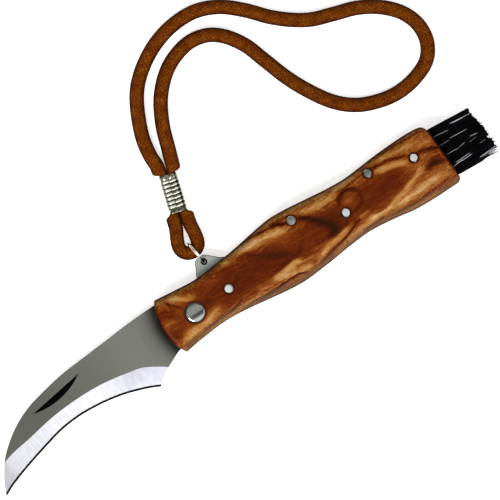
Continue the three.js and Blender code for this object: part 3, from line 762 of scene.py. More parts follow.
@dataclass(frozen=True)
class Studio:
    """Floor, light, room and camera. The camera looks straight down on the knife, as the photograph does.

    centre: the place near the pivot that lies in the middle of the picture.
    turn: the knife's slant in the picture, in degrees.
    across: what the picture's width covers at the height of the knife's middle.
    sensor: width of the camera's sensor, in millimetres.
    room: brightness of the room at angles from overhead across the scene, in degrees.
    """

    centre: tuple[float, float] = (27.1 * MM, 7.7 * MM)
    turn: float = -33.0
    height: float = 2.4
    middle: float = 8 * MM
    across: float = 170 * MM
    sensor: float = 36.0
    clip: tuple[float, float] = (0.05, 50.0)
    floor: float = 12.0
    lamp: tuple[float, float, float] = (-0.7, -0.35, 1.5)
    lamp_size: float = 0.5
    lamp_watts: float = 18.0
    brightness: float = 1.6
    room: tuple = (
        (-90, 0.35), (-50, 0.55), (-32, 1.0), (-11, 1.0), (-8, 0.1), (-3, 0.08), (-1, 0.48), (11, 0.48),
        (14.5, 0.17), (32, 0.14), (50, 0.22), (90, 0.35),
    )

    def hang(self, data: bpy.types.ID, place: Sequence[float], turn: Sequence[float]) -> Piece:
        """Puts a camera or light into the scene.

        Args:
            data: the camera or light.
            place: where it hangs.
            turn: its turns about X, Y and Z.

        Returns:
            The new object.
        """
        made = bpy.data.objects.new(data.name, data)
        bpy.context.scene.collection.objects.link(made)
        made.location, made.rotation_euler = place, turn
        return made

    def camera(self) -> None:
        """Makes the camera, turned by the knife's slant in the picture."""
        data = bpy.data.cameras.new("camera")
        data.sensor_width, data.lens = self.sensor, self.sensor * self.height / self.across
        data.clip_start, data.clip_end = self.clip
        place = (*self.centre, self.height + self.middle)
        bpy.context.scene.camera = self.hang(data, place, (0, 0, math.radians(self.turn)))

    def light(self) -> None:
        """Hangs a soft square light that faces the knife."""
        data = bpy.data.lights.new("key", "AREA")
        data.size, data.energy = self.lamp_size, self.lamp_watts
        x, y, z = self.lamp
        turn = (math.atan2(math.hypot(x, y), z), 0, math.atan2(-x, y) + math.pi)
        self.hang(data, (self.centre[0] + x, self.centre[1] + y, z), turn)

    def world(self) -> None:
        """A pale room with a bright strip on the belly's side. Its light changes across the knife."""
        s = Shader(bpy.data.worlds.new("room"))
        across = s.parts(s.node("TexCoord").outputs["Generated"])[1]
        stops = [((math.sin(math.radians(angle)) + 1) / 2, value) for angle, value in self.room]
        ground = s.node("Background", {0: s.ramp(s.spread(across, -1, 1), stops), 1: self.brightness})
        s.node("OutputWorld", {0: ground.outputs[0]})
        bpy.context.scene.world = s.owner

    def build(self) -> None:
        """Makes the floor, the light, the room and the camera."""
        corners = self.floor / 2 * np.array([[-1, -1, 0], [1, -1, 0], [1, 1, 0], [-1, 1, 0]])
        floor = Surface(corners, [np.array([[0, 1, 2, 3]])]).piece("floor")
        floor.data.materials.append(Paper().material())
        self.world()
        self.light()
        bpy.context.scene.view_settings.view_transform = "Standard"
        self.camera()


# Handle.

SPINE_SHARES = np.array([
    [0.03, 0.44], [0.07, 0.42], [0.114, 0.398], [0.158, 0.38], [0.203, 0.387], [0.247, 0.408],
    [0.291, 0.425], [0.336, 0.452], [0.38, 0.484], [0.424, 0.514], [0.46, 0.527], [0.513, 0.512],
    [0.557, 0.488], [0.601, 0.464], [0.646, 0.44], [0.708, 0.425], [0.779, 0.447], [0.823, 0.464],
    [0.911, 0.478], [0.956, 0.472], [0.979, 0.458],
])
BELLY_SHARES = np.array([
    [0.03, -0.388], [0.07, -0.36], [0.114, -0.34], [0.158, -0.325], [0.203, -0.326], [0.247, -0.345],
    [0.291, -0.373], [0.336, -0.404], [0.38, -0.433], [0.439, -0.455], [0.513, -0.436], [0.557, -0.416],
    [0.601, -0.393], [0.646, -0.375], [0.69, -0.369], [0.734, -0.385], [0.793, -0.423], [0.838, -0.457],
    [0.911, -0.472], [0.991, -0.469],
])
REAR_END_SHARES = np.array([
    [-1, 0.45], [-0.93, -0.05], [-0.8, -0.14], [-0.4, -0.08], [0, 0], [0.4, 0.06], [0.8, 0.25],
    [0.93, 0.5], [1, 1],
])
SPRING_FACE_SHARES = np.array([
    [0.229, 0.24], [0.291, 0.288], [0.353, 0.35], [0.406, 0.378], [0.459, 0.378], [0.557, 0.358],
    [0.646, 0.33], [0.716, 0.312], [0.831, 0.332],
])
EAR_SHARES = np.array([
    [-0.45, -0.8], [-0.41, -0.52], [-0.31, -0.14], [-0.26, 0.12], [-0.21, 0.295], [-0.15, 0.37],
    [-0.075, 0.41], [0.025, 0.415], [0.1, 0.37], [0.2, 0.19], [0.34, -0.09], [0.45, -0.3], [0.56, -0.44],
    [0.62, -0.8],
])


@dataclass(frozen=True)
class HandleShape:
    """Outline and crown of the handle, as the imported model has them.

    The outline is a share of the length and height. The crown is flat in the middle and falls as a quarter
    ellipse to the rim, and each end falls as a smaller one.
    """

    length: float = 112.9 * MM
    front: float = 12.9 * MM
    height: float = 25 * MM
    front_bow: float = 3.3 * MM
    rear_corner: float = 2.3 * MM
    crown_drop: float = 2.6 * MM
    end_drop: float = 1.2 * MM
    end_round: float = 2.2 * MM
    land: float = 0.42
    end_rows: int = 8
    end_points: int = 40

    @property
    def rear(self) -> float:
        """Place of the rear end."""
        return self.length - self.front

    @property
    def stack(self) -> float:
        """Height of the front face above the floor."""
        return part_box("front_scale")[1].z

    def front_x(self, across: Array) -> Array:
        """Place of the front end at a place across the handle."""
        return self.front_bow * across**2 - self.front

    def rear_x(self, across: Array) -> Array:
        """Place of the rear end at a place across the handle."""
        return self.rear - self.rear_corner * follow(REAR_END_SHARES, across)

    def spine_y(self, x: Array) -> Array:
        """Place of the spine."""
        return self.height * follow(SPINE_SHARES, (x + self.front) / self.length)

    def belly_y(self, x: Array) -> Array:
        """Place of the belly."""
        return self.height * follow(BELLY_SHARES, (x + self.front) / self.length)

    def sides(self, along: Array) -> list[Array]:
        """Y of the belly and of the spine at a share of the way from the front end to the rear end.

        Args:
            along: the shares.

        Returns:
            Two arrays of the same shape.
        """
        found = []
        for side, curve in ((-np.ones_like(along), self.belly_y), (np.ones_like(along), self.spine_y)):
            found.append(curve(self.front_x(side) * (1 - along) + self.rear_x(side) * along))
        return found

    def at(self, along: Array, across: Array) -> tuple[Array, Array, Array]:
        """X, Y and drop below the flat middle of the crown.

        Args:
            along: 0 at the front end to 1 at the rear end.
            across: -1 at the belly to 1 at the spine.

        Returns:
            Three arrays of the same shape.
        """
        x = self.front_x(across) * (1 - along) + self.rear_x(across) * along
        bottom, top = self.sides(along)
        y = bottom + (top - bottom) * (across + 1) / 2
        to_end = np.minimum(x - self.front_x(across), self.rear_x(across) - x)
        drop = self.crown_drop * sag((1 - np.abs(across)) / (1 - self.land))
        return x, y, drop + self.end_drop * sag(to_end / self.end_round)

    def face(self, rows: int, columns: int) -> Array:
        """Grid of points of the crowned front face, closer together where it turns down.

        Args:
            rows: points along the handle.
            columns: points across it.

        Returns:
            Rows by columns by three.
        """
        turn = np.sin(np.linspace(0, math.pi / 2, self.end_rows + 1))
        end = self.end_round / self.length
        middle = np.linspace(end, 1 - end, rows - 2 * self.end_rows)
        along = np.concatenate([end * (1 - turn[::-1][:-1]), middle, 1 - end * (1 - turn[1:])])
        rim = self.land + (1 - self.land) * np.sin(np.linspace(0, math.pi / 2, columns // 3))
        across = np.concatenate([-rim[::-1], np.linspace(-self.land, self.land, columns // 3)[1:-1], rim])
        x, y, drop = self.at(*np.meshgrid(along, across, indexing="ij"))
        return np.stack([x, y, self.stack - drop], axis=-1)

    def drop_at(self, x: Array, y: Array) -> Array:
        """Drop of the crown at places given by X and Y, found by closing in on their shares.

        Args:
            x: places along.
            y: places across.

        Returns:
            The drops.
        """
        along, across = (x + self.front) / self.length, np.zeros_like(x)
        for _ in range(6):
            bottom, top = self.sides(along)
            across = np.clip(2 * (y - bottom) / (top - bottom) - 1, -1, 1)
            start = self.front_x(across)
            along = np.clip((x - start) / (self.rear_x(across) - start), 0, 1)
        return self.at(along, across)[2]

    def to_rim(self, x: Array, y: Array) -> Array:
        """Distance from places to the nearest side or end, seen from the front.

        Args:
            x: places along.
            y: places across.

        Returns:
            The distances.
        """
        across = np.clip(y / (self.height / 2), -1, 1)
        ends = x - self.front_x(across), self.rear_x(across) - x
        return np.minimum.reduce([self.spine_y(x) - y, y - self.belly_y(x), *ends])

    def outline(self, count: int) -> Array:
        """The outline seen from the front, round from the front end's belly corner.

        Args:
            count: points on each long side.

        Returns:
            Points, two numbers a row.
        """
        long, short = np.linspace(0, 1, count), np.linspace(-1, 1, self.end_points)
        one, end = np.ones(count), np.ones(self.end_points)
        sides = ((long, -one), (end, short), (long[::-1], one), (0 * end, -short))
        return np.concatenate([np.stack(self.at(*side)[:2], axis=1)[:-1] for side in sides])


def sag(place: Array) -> Array:
    """How far a quarter ellipse has fallen, as a share, from 1 at its rim to 0 where it is level."""
    rest = 1 - np.clip(place, 0, 1)
    return 1 - np.sqrt(1 - rest**2)


@dataclass(frozen=True)
class Figure:
    """The wood's figure, in millimetres of the front face. It is the same, mirrored, on the rear face.

    clouds: light or dark patches: place, length, width, slant in degrees and strength.
    strokes: light or dark streaks: width, strength and the points that they run through.
    fade: how far down the walls the painted shade of the rim goes.
    pins: X, Y and radius of the dark line round each pin.
    """

    clouds: tuple = (
        (-10.6, 1.7, 2.3, 1.5, 0, 0.1), (78, 0.8, 8.5, 3.6, -3, -0.3), (64.7, 3.0, 2.6, 1.8, -6, 0.3),
        (57, 0.8, 2.6, 4.0, 0, -0.32), (54.4, -2.8, 2.7, 1.1, 4, -0.95), (96.2, -1.1, 2.8, 1.7, 10, -0.6),
        (12, 1.5, 10, 3.2, -8, -0.16), (33, 0.5, 10, 3.0, -20, -0.2),
        (33, 12.0, 12, 1.1, 0, 0.22), (55, 11.0, 12, 1.0, -6, 0.16), (86, 11.0, 12, 0.9, 0, 0.12),
        (2.5, 7.2, 3.4, 1.3, -18, -0.3), (-9.5, -3.6, 3.0, 1.3, -10, -0.32), (96, -9.8, 4, 1.2, 10, -0.22),
        (-11.8, 8, 2.5, 2.5, 0, -0.2), (40, -9.8, 12, 0.8, 0, 0.1), (28.5, 8.7, 3.5, 1.0, 0, 0.2),
        (-3, 2, 9, 9, 0, 0.16), (22, -1, 9, 4, 0, -0.12), (80, 0, 9, 5, 0, 0.14), (96, -8, 6, 3, 0, 0.15),
        (15, 6.5, 8, 2.5, -15, -0.22), (9, -8.6, 12, 1.2, 3, 0.2),
    )
    strokes: tuple = (
        (0.9, 0.55, ((-5.6, 9.0), (-3, 7.5), (-0.3, 5.6), (2.8, 4.3))),
        (0.8, 0.25, ((-11.5, 1.7), (-7, 1.4))),
        (1.3, 0.62, ((-8.7, -5.9), (-3.5, -5.2), (-0.3, -4.9), (2.8, -4.4), (6, -3.4), (9.2, -2.8))),
        (0.5, 0.5, ((-8.7, -9.0), (-0.8, -8.0), (9.7, -7.3), (18, -7.0), (26, -7.3))),
        (0.5, 0.3, ((7, 7.7), (9.7, 6.7), (12.3, 5.4))),
        (0.9, 0.42, ((15.5, 9.2), (18.9, 8.2))),
        (0.8, 0.25, ((21.5, -4.2), (24.2, -5.8), (26.5, -6.4))),
        (1.3, 0.6, ((21.5, 9.6), (26, 9.1), (30, 9.0), (33.8, 8.3), (37.8, 7.7), (40.4, 6.9), (42.5, 6.7))),
        (2.0, 0.12, ((34, 5.1), (44, 2.5))),
        (1.3, 0.78, ((28, -4.9), (30.7, -5.2), (35.2, -4.5), (37.8, -4.1), (40.4, -5.4))),
        (0.9, 0.55, ((31, -6.5), (35.2, -7.0), (39.1, -7.8), (42.5, -8.0))),
        (0.9, 0.68, ((45.2, -7.5), (48.3, -6.5), (51, -5.4), (53.6, -5.4), (57.5, -4.4), (60.2, -3.8))),
        (1.2, 0.5, ((47.3, 9.0), (51, 8.3), (55, 7.7), (58.8, 7.5), (61.5, 7.2))),
        (1.0, 0.5, ((50, -9.4), (56.2, -8.0), (62, -7.1))),
        (1.1, 0.68, ((76.8, 6.7), (79.7, 6.2), (83.7, 5.4), (86.3, 4.3), (88.2, 2.9))),
        (0.9, 0.5, ((82.4, -3.3), (85, -2.8), (88.9, -1.7), (92.1, -0.2))),
        (0.9, 0.68, ((65.3, -4.9), (69.2, -5.8), (73.2, -6.3), (78.4, -4.9), (82.4, -4.1), (86.3, -3.4))),
        (0.5, 0.45, ((63.9, -3.2), (68.5, -3.3))),
        (1.1, 0.62, ((75.8, -7.2), (81, -6.6), (85, -6.7), (90.3, -6.2), (95.5, -5.9))),
        (0.8, 0.52, ((60, -7.5), (65.3, -6.7), (70.5, -6.5))),
        (0.7, 0.35, ((78.4, -10.3), (85, -10.8), (93, -11.0))),
        (0.9, 0.42, ((60.5, 9.3), (66, 9.3), (70.5, 9.2))),
        (0.8, 0.38, ((79, 9.3), (84, 9.0), (89, 8.5), (94.2, 7.7))),
        (0.9, 0.22, ((93, 6.6), (98.2, 5.3))),
        (0.35, -0.6, ((-6.9, 8.2), (-4.8, 5.6), (-2.9, 3.8))),
        (1.2, -0.26, ((-11.4, 6.6), (-8.5, 4.6), (-6, 2.4))),
        (0.9, -0.32, ((3.8, 1.2), (7.2, 0.5))),
        (0.28, -0.55, ((-8.7, -7.8), (-0.3, -7.0), (6, -6.3), (10, -6.3))),
        (0.34, -0.85, ((10, -6.3), (13.9, -5.5), (16.2, -4.7))),
        (0.3, -0.5, ((13.6, -7.9), (19, -7.9), (26, -8.0))),
        (0.5, -0.3, ((16, 0.9), (19.5, 1.9))),
        (0.4, -0.3, ((4, 8.9), (9, 8.6), (14, 7.2), (19, 6.4), (24, 4.6))),
        (0.32, -1.05, ((21, 10.8), (26, 11.1), (30, 11.1), (34, 10.6), (37, 10.4))),
        (0.6, -1.05, ((36.7, 10.5), (38.8, 10.2), (40.6, 9.3), (42.8, 8.6))),
        (0.35, -0.5, ((36.7, 11.4), (40.4, 11.0), (44, 10.6))),
        (1.1, -0.45, ((22, 7.8), (25.2, 6.9), (28.6, 4.3), (32.5, 1.9), (36.2, 0.4), (39.1, -0.7))),
        (0.7, -0.45, ((28, -3.6), (33.8, -2.8), (40.4, -2.2), (42.4, -0.7))),
        (1.0, -1.0, ((46.2, 8.2), (48.3, 6.7), (50.4, 4.8), (52.3, 2.7))),
        (1.6, -0.95, ((51.6, 3.6), (53.6, 1.2), (54.8, -0.9), (54.6, -2.4))),
        (0.36, -1.15, ((20, -8.4), (27.3, -8.3), (33.8, -8.05), (36.7, -8.15), (38.5, -8.9), (40.4, -9.6))),
        (0.36, -1.0, ((44.2, -9.4), (47.3, -8.6), (49.8, -7.8), (52.3, -7.3), (56.2, -6.6), (58.8, -5.7))),
        (0.3, -0.8, ((58, -6.0), (60.5, -5.0), (62.6, -4.2), (64.6, -3.8))),
        (0.22, -0.55, ((41.3, 6.0), (44, 6.0))),
        (0.25, -0.5, ((55.2, 6.3), (57, 6.1), (59, 6.5))),
        (0.5, -0.5, ((58.4, -3.0), (61, -1.9))),
        (0.65, -0.85, ((60.4, 3.9), (61.6, 5.6), (63.2, 6.7), (65.3, 7.0), (67.4, 6.2), (68.9, 4.2))),
        (0.5, -0.45, ((68.9, 4.2), (68.5, 2.4), (67.6, 0.7), (65.3, -0.2), (62.9, -0.4))),
        (0.5, -0.7, ((75.6, 8.4), (79.7, 8.0), (83.7, 7.5), (87.6, 6.2), (89.6, 5.3))),
        (0.75, -0.75, ((92.2, 4.4), (95.5, 3.8), (98.2, 2.7), (100, 1.8))),
        (0.9, -0.45, ((92, -2.9), (94.2, -1.6), (96.8, -1.9), (100, -3.3))),
        (0.27, -0.62, ((62.6, -8.05), (67.9, -7.8), (72, -7.5))),
        (0.32, -0.8, ((72.4, -8.5), (77.1, -9.0), (81, -9.3), (85, -9.3), (91.6, -8.8), (99.5, -8.1))),
        (0.35, -0.5, ((76, 10.5), (83.7, 10.8), (91.6, 10.4), (97, 10.0))),
        (0.3, -0.42, ((69.5, -4.9), (73.2, -5.2), (76.6, -4.5))),
        (0.4, -0.35, ((62, 7.9), (68, 8.2), (74, 8.8))),
    )
    fade: float = 0.35 * MM
    pins: tuple = (
        (0, 0, 3.6), (13.9, 0.6, 1.7), (61.3, 0.6, 1.7), (44.3, 8.5, 1.7), (74.7, 7.8, 1.7),
        (90.7, 3.7, 1.7),
    )

    def lines(self) -> list[tuple[float, float, Array]]:
        """Width, strength and a smooth curve for each stroke."""
        return [(wide, strong, through(np.array(run, float), 40)) for wide, strong, run in self.strokes]

    def grain(self, x: Array, y: Array) -> Array:
        """Place across the streaks, which run along the strokes: Y less the climb of those close by.

        Args:
            x: places along.
            y: places across.

        Returns:
            The grain at each place.
        """
        climb, weight = np.zeros_like(x), np.full_like(x, 0.15)
        for _, _, curve in self.lines():
            curve = curve[np.argsort(curve[:, 0])]
            if np.ptp(curve[:, 0]) < np.ptp(curve[:, 1]):
                continue
            height = np.interp(x, curve[:, 0], curve[:, 1])
            past = np.maximum(np.maximum(curve[0, 0] - x, x - curve[-1, 0]), 0)
            near = np.exp(-(((y - height) / 1.6) ** 2) - (past / 4) ** 2)
            climb += near * (height - curve[:, 1].mean())
            weight += near
        return y - climb / weight

    def tone(self, x: Array, y: Array) -> Array:
        """Lightness: a cloud is a bell along and across its slant, a stroke a bell of the distance to it.

        Args:
            x: places along.
            y: places across.

        Returns:
            The lightness at each place.
        """
        found = np.zeros_like(x)
        for place, height, length, width, slant, strength in self.clouds:
            c, s = math.cos(math.radians(slant)), math.sin(math.radians(slant))
            along, across = (x - place) * c + (y - height) * s, (y - height) * c - (x - place) * s
            found += strength * np.exp(-((along / length) ** 2) - (across / width) ** 2)
        for width, strength, curve in self.lines():
            share = np.linspace(0, 1, len(curve))
            fade = np.minimum(1, 5 * np.minimum(share, 1 - share) + 0.2)
            off = np.hypot(x[:, None] - curve[None, :, 0], y[:, None] - curve[None, :, 1])
            nearest = off.argmin(axis=1)
            close = off[np.arange(len(x)), nearest]
            found += strength * fade[nearest] * np.exp(-((close / width) ** 2))
        for place, height, radius in self.pins:
            found -= 0.8 * np.exp(-(((np.hypot(x - place, y - height) - radius) / 0.3) ** 2))
        return found

    def keep(self, piece: Piece, shape: "HandleShape") -> None:
        """Keeps grain, tone, flank and calm at the points of a piece.

        Painted shade darkens the rim of the crown and the front end, and flank holds painted shade by the
        spine and a painted sheen by the belly. The middle is darker than the flanks and calmer, up to where
        the brush is held. On the walls below the crown the grain runs on down them, and the painted shade
        fades.

        Args:
            piece: the piece.
            shape: the handle's outline.
        """
        x, y, z = values(piece.data.vertices, "co").T
        wall = shape.stack / 2 - shape.crown_drop - np.abs(z - shape.stack / 2)
        crown = np.clip(1 - wall / self.fade, 0, 1)
        down = np.clip(wall, 0, None) * np.clip(y / (shape.height / 2), -1, 1) / MM
        sides = 0.3 + 0.7 * crown
        spine = np.exp(-(((shape.spine_y(x) - y) / MM / 2.0) ** 2)) * sides
        belly = np.exp(-((((y - shape.belly_y(x)) / MM - 0.6) / 1.8) ** 2)) * sides
        front = np.exp(-(((x - shape.front_x(y / (shape.height / 2))) / MM / 0.7) ** 2)) * crown
        rim = np.exp(-((shape.to_rim(x, y) / MM / 0.42) ** 2)) * crown
        x, y = x / MM, y / MM
        calm = np.exp(-(((y - 0.8) / 5.6) ** 4)) * np.clip((90 - x) / 8, 0, 1)
        calm = np.maximum(calm, 0.7 * (1 - crown))
        paint(piece, "grain", self.grain(x, y) + down)
        paint(piece, "calm", calm)
        # Painted shade by the spine, painted sheen by the belly, the sheen weaker at the rim.
        paint(piece, "flank_light", spine - belly * (1 - 0.7 * rim))
        drawn = self.tone(x, y)
        drawn *= np.where(drawn < 0, 1 - 0.4 * calm, 1)
        tone = drawn + 0.15 - 0.38 * calm * crown + 0.15 * spine - 0.22 * belly
        # Painted shade on the rim of the crown and on the front end.
        paint(piece, "tone", tone - rim * (0.8 + 0.6 * spine) - 1.5 * front)


PIN_HOLES = ("spring_pin", "spring_rear_pin", "brush_pin", "front_rivet_upper", "rear_rivet_upper")
PIN_FACES = {
    "spring_pin": (True, True), "spring_rear_pin": (True, True), "brush_pin": (True, True),
    "front_rivet_upper": (True, False), "rear_rivet_upper": (True, False),
    "front_rivet_lower": (False, True), "rear_rivet_lower": (False, True),
}


@dataclass
class Handle:
    """Two wooden scales on steel liners, the back spring between them, and the pins through them.

    pin_bright: where the ring of painted shade round a pin's face begins, as a share of its radius.
    pole: how near the axis a turned outline ends, as a share of its radius.
    past: how far a pin's cutter goes on beyond the stack.
    seat: lower corner of the spring's end over the tang.
    """

    shape: HandleShape = field(default_factory=HandleShape)
    figure: Figure = field(default_factory=Figure)
    wood_gap: float = 0.3 * MM
    steel_gap: float = 0.12 * MM
    chamfer: float = 0.05 * MM
    shank: float = 2.2 * MM
    dome: float = 0.24 * MM
    pin_bright: float = 0.93
    pin_dome: float = 0.02 * MM
    head_round: float = 0.14 * MM
    nut_round: float = 0.15 * MM
    pole: float = 0.03
    past: float = 5 * MM
    seat: float = 5.5 * MM
    lug: float = 1.5 * MM
    ear_x: float = 11.8 * MM
    ear_rise: float = 3.05 * MM
    ear_bore: float = 1.04 * MM
    ear_sink: float = 2.3 * MM
    ear_rim: float = 0.22 * MM
    ear_width: float = 12.2 * MM
    ear_height: float = 5.6 * MM
    rows: int = 250
    columns: int = 99

    def pin_place(self, node: str) -> tuple[Array, float]:
        """Middle and radius of a round node, from its box."""
        low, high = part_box(node)
        return np.array([(low.x + high.x) / 2, (low.y + high.y) / 2]), (high.x - low.x) / 2

    def hole(self, node: str, gap: float) -> Surface:
        """A round cutter through the whole stack, wider than a node by a gap all round."""
        place, radius = self.pin_place(node)
        return drill(radius + gap, -self.past, self.shape.stack + self.past, place)

    def scales(self, material: Finish) -> None:
        """Makes the two wooden scales.

        Args:
            material: their finish.
        """
        face = self.shape.face(self.rows, self.columns)
        rear = face * [1, 1, -1] + [0, 0, self.shape.stack]
        cuts = [self.room(), *(self.hole(pin, self.wood_gap) for pin in (*PIN_HOLES, "pivot_bolt"))]
        for name, surface, end in (("front_scale", face, 0), ("rear_scale", rear, 1)):
            piece = carve(slab(surface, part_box(name)[end].z).piece("wood_" + name), "DIFFERENCE", *cuts)
            self.figure.keep(piece, self.shape)
            dress(piece, material, Slot.WOOD, "handle", name)

    def room(self) -> Surface:
        """The room for the brush block, open at the rear.

        Returns:
            The cutter.
        """
        low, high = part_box("brush_block")
        gap, rear = self.wood_gap, self.shape.rear + OVERRUN
        return cuboid((low.x - gap, rear), (low.y - gap, high.y + gap), (low.z - gap, high.z + gap))

    def pins(self, bright: Finish, shaded_pin_finish: Finish, dark: Finish) -> None:
        """Makes the small pins, whose faces follow the crown of the wood.

        Args:
            bright: finish of the rivets and the brush's pin.
            shaded_pin_finish: finish of the spring's pins, a darker steel as painted shade where their
                faces tilt with the crown.
            dark: painted shade, the finish of the outermost ring of their faces, and of their sides.
        """
        for node, (front, rear) in PIN_FACES.items():
            piece = self.pin(node, front, rear).piece("pin_" + node)
            # Painted shade: the spring's pins take the darker finish.
            finish = shaded_pin_finish if node.startswith("spring") else bright
            place, radius = self.pin_place(node)
            from_middle = apart(values(piece.data.polygons, "center"), place)
            # Painted shade: the outermost ring of each face is black, next to the shadowed gap round the
            # pin.
            coat(piece, (finish, dark), from_middle > self.pin_bright * radius)
            dress(piece, finish, Slot.POLISHED_STEEL, "handle", node, 20)

    def pin(self, node: str, front: bool, rear: bool) -> Surface:
        """One pin: rings out over one face, down the side and in over the other face.

        Args:
            node: the pin's node.
            front: whether the upper face follows the crown.
            rear: whether the lower face follows the crown.

        Returns:
            The closed surface.
        """
        place, radius = self.pin_place(node)
        low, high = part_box(node)
        share = np.array([0.04, 0.3, 0.6, 0.8, self.pin_bright, 0.98, 1.0])
        dome = self.pin_dome * (1 - share**2)
        edge = np.where(share == 1, self.chamfer, 0)
        angle = angles(48)
        x = place[0] + radius * share[:, None] * np.cos(angle)
        y = place[1] + radius * share[:, None] * np.sin(angle)
        drop = self.shape.drop_at(x.ravel(), y.ravel()).reshape(x.shape)
        up = self.shape.stack - drop if front else np.full_like(x, high.z)
        down = drop if rear else np.full_like(x, low.z)
        up = up + (dome - edge)[:, None] * front
        down = down - np.minimum((dome - edge)[:, None], 0) * rear
        return tube(np.concatenate([np.stack([x, y, up], axis=-1), np.stack([x, y, down], axis=-1)[::-1]]))

    def pivot(self, material: Finish) -> None:
        """Makes the pivot's bolt, with a low dome on its head, and its capped nut.

        Args:
            material: their finish.
        """
        place, radius = self.pin_place("pivot_bolt")
        top, bolt_low, shank = self.shape.stack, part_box("pivot_bolt")[0].z, self.shank
        seat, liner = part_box("front_scale")[0].z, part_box("rear_scale")[1].z
        share = np.linspace(self.pole, 0.94, 14)
        head = np.stack([radius * share, top + self.dome * (1 - share**2)], axis=1)
        rest = [
            [radius * 0.98, top - 0.04 * MM], [radius, top - self.head_round], [radius, seat],
            [shank, seat], [shank, bolt_low], [shank * self.pole, bolt_low],
        ]
        bolt = turned(np.concatenate([head, rest]), place, 96).piece("pivot_head")
        bore, deep = shank + self.steel_gap, bolt_low - self.wood_gap
        nut = np.array([
            [radius * self.pole, 0], [radius - self.nut_round, 0], [radius, self.nut_round],
            [radius, liner], [bore, liner], [bore, deep], [bore * self.pole, deep],
        ])
        cap = turned(nut, place, 96).piece("pivot_cap")
        for piece, node in ((bolt, "pivot_bolt"), (cap, "pivot_nut")):
            dress(piece, material, Slot.POLISHED_STEEL, "handle", node, 40)

    def plate(self, name: str, node: str) -> Piece:
        """A liner with its holes and its notch for the brush block.

        Args:
            name: the object's name.
            node: the liner's node.

        Returns:
            The piece.
        """
        low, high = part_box(node)
        cuts = [self.hole(pin, self.steel_gap) for pin in PIN_HOLES]
        cuts += [self.room(), drill(self.shank + self.steel_gap, low.z - MM, high.z + MM, PIVOT)]
        return carve(prism(self.shape.outline(160), low.z, high.z).piece(name), "DIFFERENCE", *cuts)

    def liners(self, material: Finish, dark: Finish) -> None:
        """Makes the two liners. The rear one carries the lanyard's ear.

        Args:
            material: their finish.
            dark: painted shade, the finish of the ear's hole and of its broken edges.
        """
        front = self.plate("liner_front", "front_liner")
        dress(front, material, Slot.SATIN_STEEL, "handle", "front_liner")
        low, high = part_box("rear_liner")
        hole, narrow, wide = self.ear_hole(), self.ear_bore / 2, self.ear_sink / 2
        outline = through(EAR_SHARES, 90) * [self.ear_width, self.ear_height] + hole
        neck = low.z + (high.z - low.z) / 4
        steps = np.array([[narrow, low.z - MM], [narrow, neck], [wide, high.z], [wide, high.z + MM]])
        eared = carve(self.plate("liner_rear", "rear_liner"), "UNION", self.ear(outline, low.z, high.z))
        carve(eared, "DIFFERENCE", turned(steps, hole, 48))
        centre, normal = (values(eared.data.polygons, name) for name in ("center", "normal"))
        above = centre[:, 1] > self.shape.spine_y(centre[:, 0])
        level = np.abs(normal[:, 2])
        sunk = apart(centre, hole) < wide
        # Painted shade: the ear's hole and its broken edges are black.
        coat(eared, (material, dark), above & (level < 0.98) & ((level > 0.05) | sunk))
        dress(eared, material, Slot.SATIN_STEEL, "handle", "rear_liner", 20)

    def ear(self, outline: Array, low: float, high: float) -> Surface:
        """The ear's plate, with its upper edge broken by a small chamfer.

        Args:
            outline: the ear's outline.
            low: height of its lower face.
            high: height of its upper face.

        Returns:
            The closed surface.
        """
        inward = sideways(outline)
        inward *= np.sign(((outline.mean(axis=0) - outline) * inward).sum())
        upper = lifted(outline + inward * self.ear_rim, high)
        return tube(np.stack([lifted(outline, low), lifted(outline, high - self.ear_rim), upper]))

    def ear_hole(self) -> Array:
        """Middle of the ear's hole, above the spine."""
        spine = self.shape.spine_y(np.array([self.ear_x]))[0]
        return np.array([self.ear_x, spine + self.ear_rise])

    def spring(self, material: Finish) -> None:
        """Makes the back spring: a bar between the liners with a lug round each of its pins.

        Args:
            material: its finish.
        """
        low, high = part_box("back_spring")
        block_low, block_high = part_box("brush_block")
        above, past = block_high.y + self.wood_gap, self.shape.rear + OVERRUN
        tall, seat = self.shape.height, self.seat
        arch = through(SPRING_FACE_SHARES, 80) * [self.shape.length, tall] - [self.shape.front, 0]
        outline = np.concatenate([
            [[low.x, tall], [low.x, seat], [seat, seat]], arch,
            [[block_low.x - self.wood_gap, above], [past, above], [past, tall]],
        ])
        piece = prism(outline, low.z, high.z).piece("spring_bar")
        carve(piece, "INTERSECT", prism(self.shape.outline(160), 0, self.shape.stack))
        for operation, grow, reach in (("UNION", self.lug, 0), ("DIFFERENCE", self.steel_gap, MM)):
            for pin in ("spring_pin", "spring_rear_pin"):
                place, radius = self.pin_place(pin)
                carve(piece, operation, drill(radius + grow, low.z - reach, high.z + reach, place, 48))
        dress(piece, material, Slot.SATIN_STEEL, "handle", "back_spring")

    def build(self) -> None:
        """Makes every piece of the handle."""
        self.scales(Wood().material())
        bright = Steel("rivet_steel", (0.68, 0.7, 0.68), 0.28, (1.2, 1.2, 1.2), 0.001, 0.06).material()
        # Painted shade: the spring's pins, whose faces tilt with the crown, get a darker copy of the
        # rivets' steel.
        shaded_pin_finish = Steel("shaded_pin_steel", (0.36, 0.375, 0.34), 0.34, (1.2, 1.2, 1.2), 0.0006, 0.06).material()
        head = Steel("pivot_steel", (0.34, 0.355, 0.325), 0.1, (1.5, 5, 5), 0.001, 0.06).material()
        satin = Steel("satin_liner", (0.31, 0.34, 0.31), 0.34, (0.5, 6, 6), 0.002).material()
        # Painted shade: black for the pins' outer rings, the ear's hole and its edges.
        dark = Black("painted_shade_black", 0.5, 0.2).material()
        self.pins(bright, shaded_pin_finish, dark)
        self.pivot(head)
        self.liners(satin, dark)
        self.spring(Steel("spring_steel", (0.15, 0.165, 0.15), 0.26, (0.5, 6, 6), 0.002).material())


# Blade.

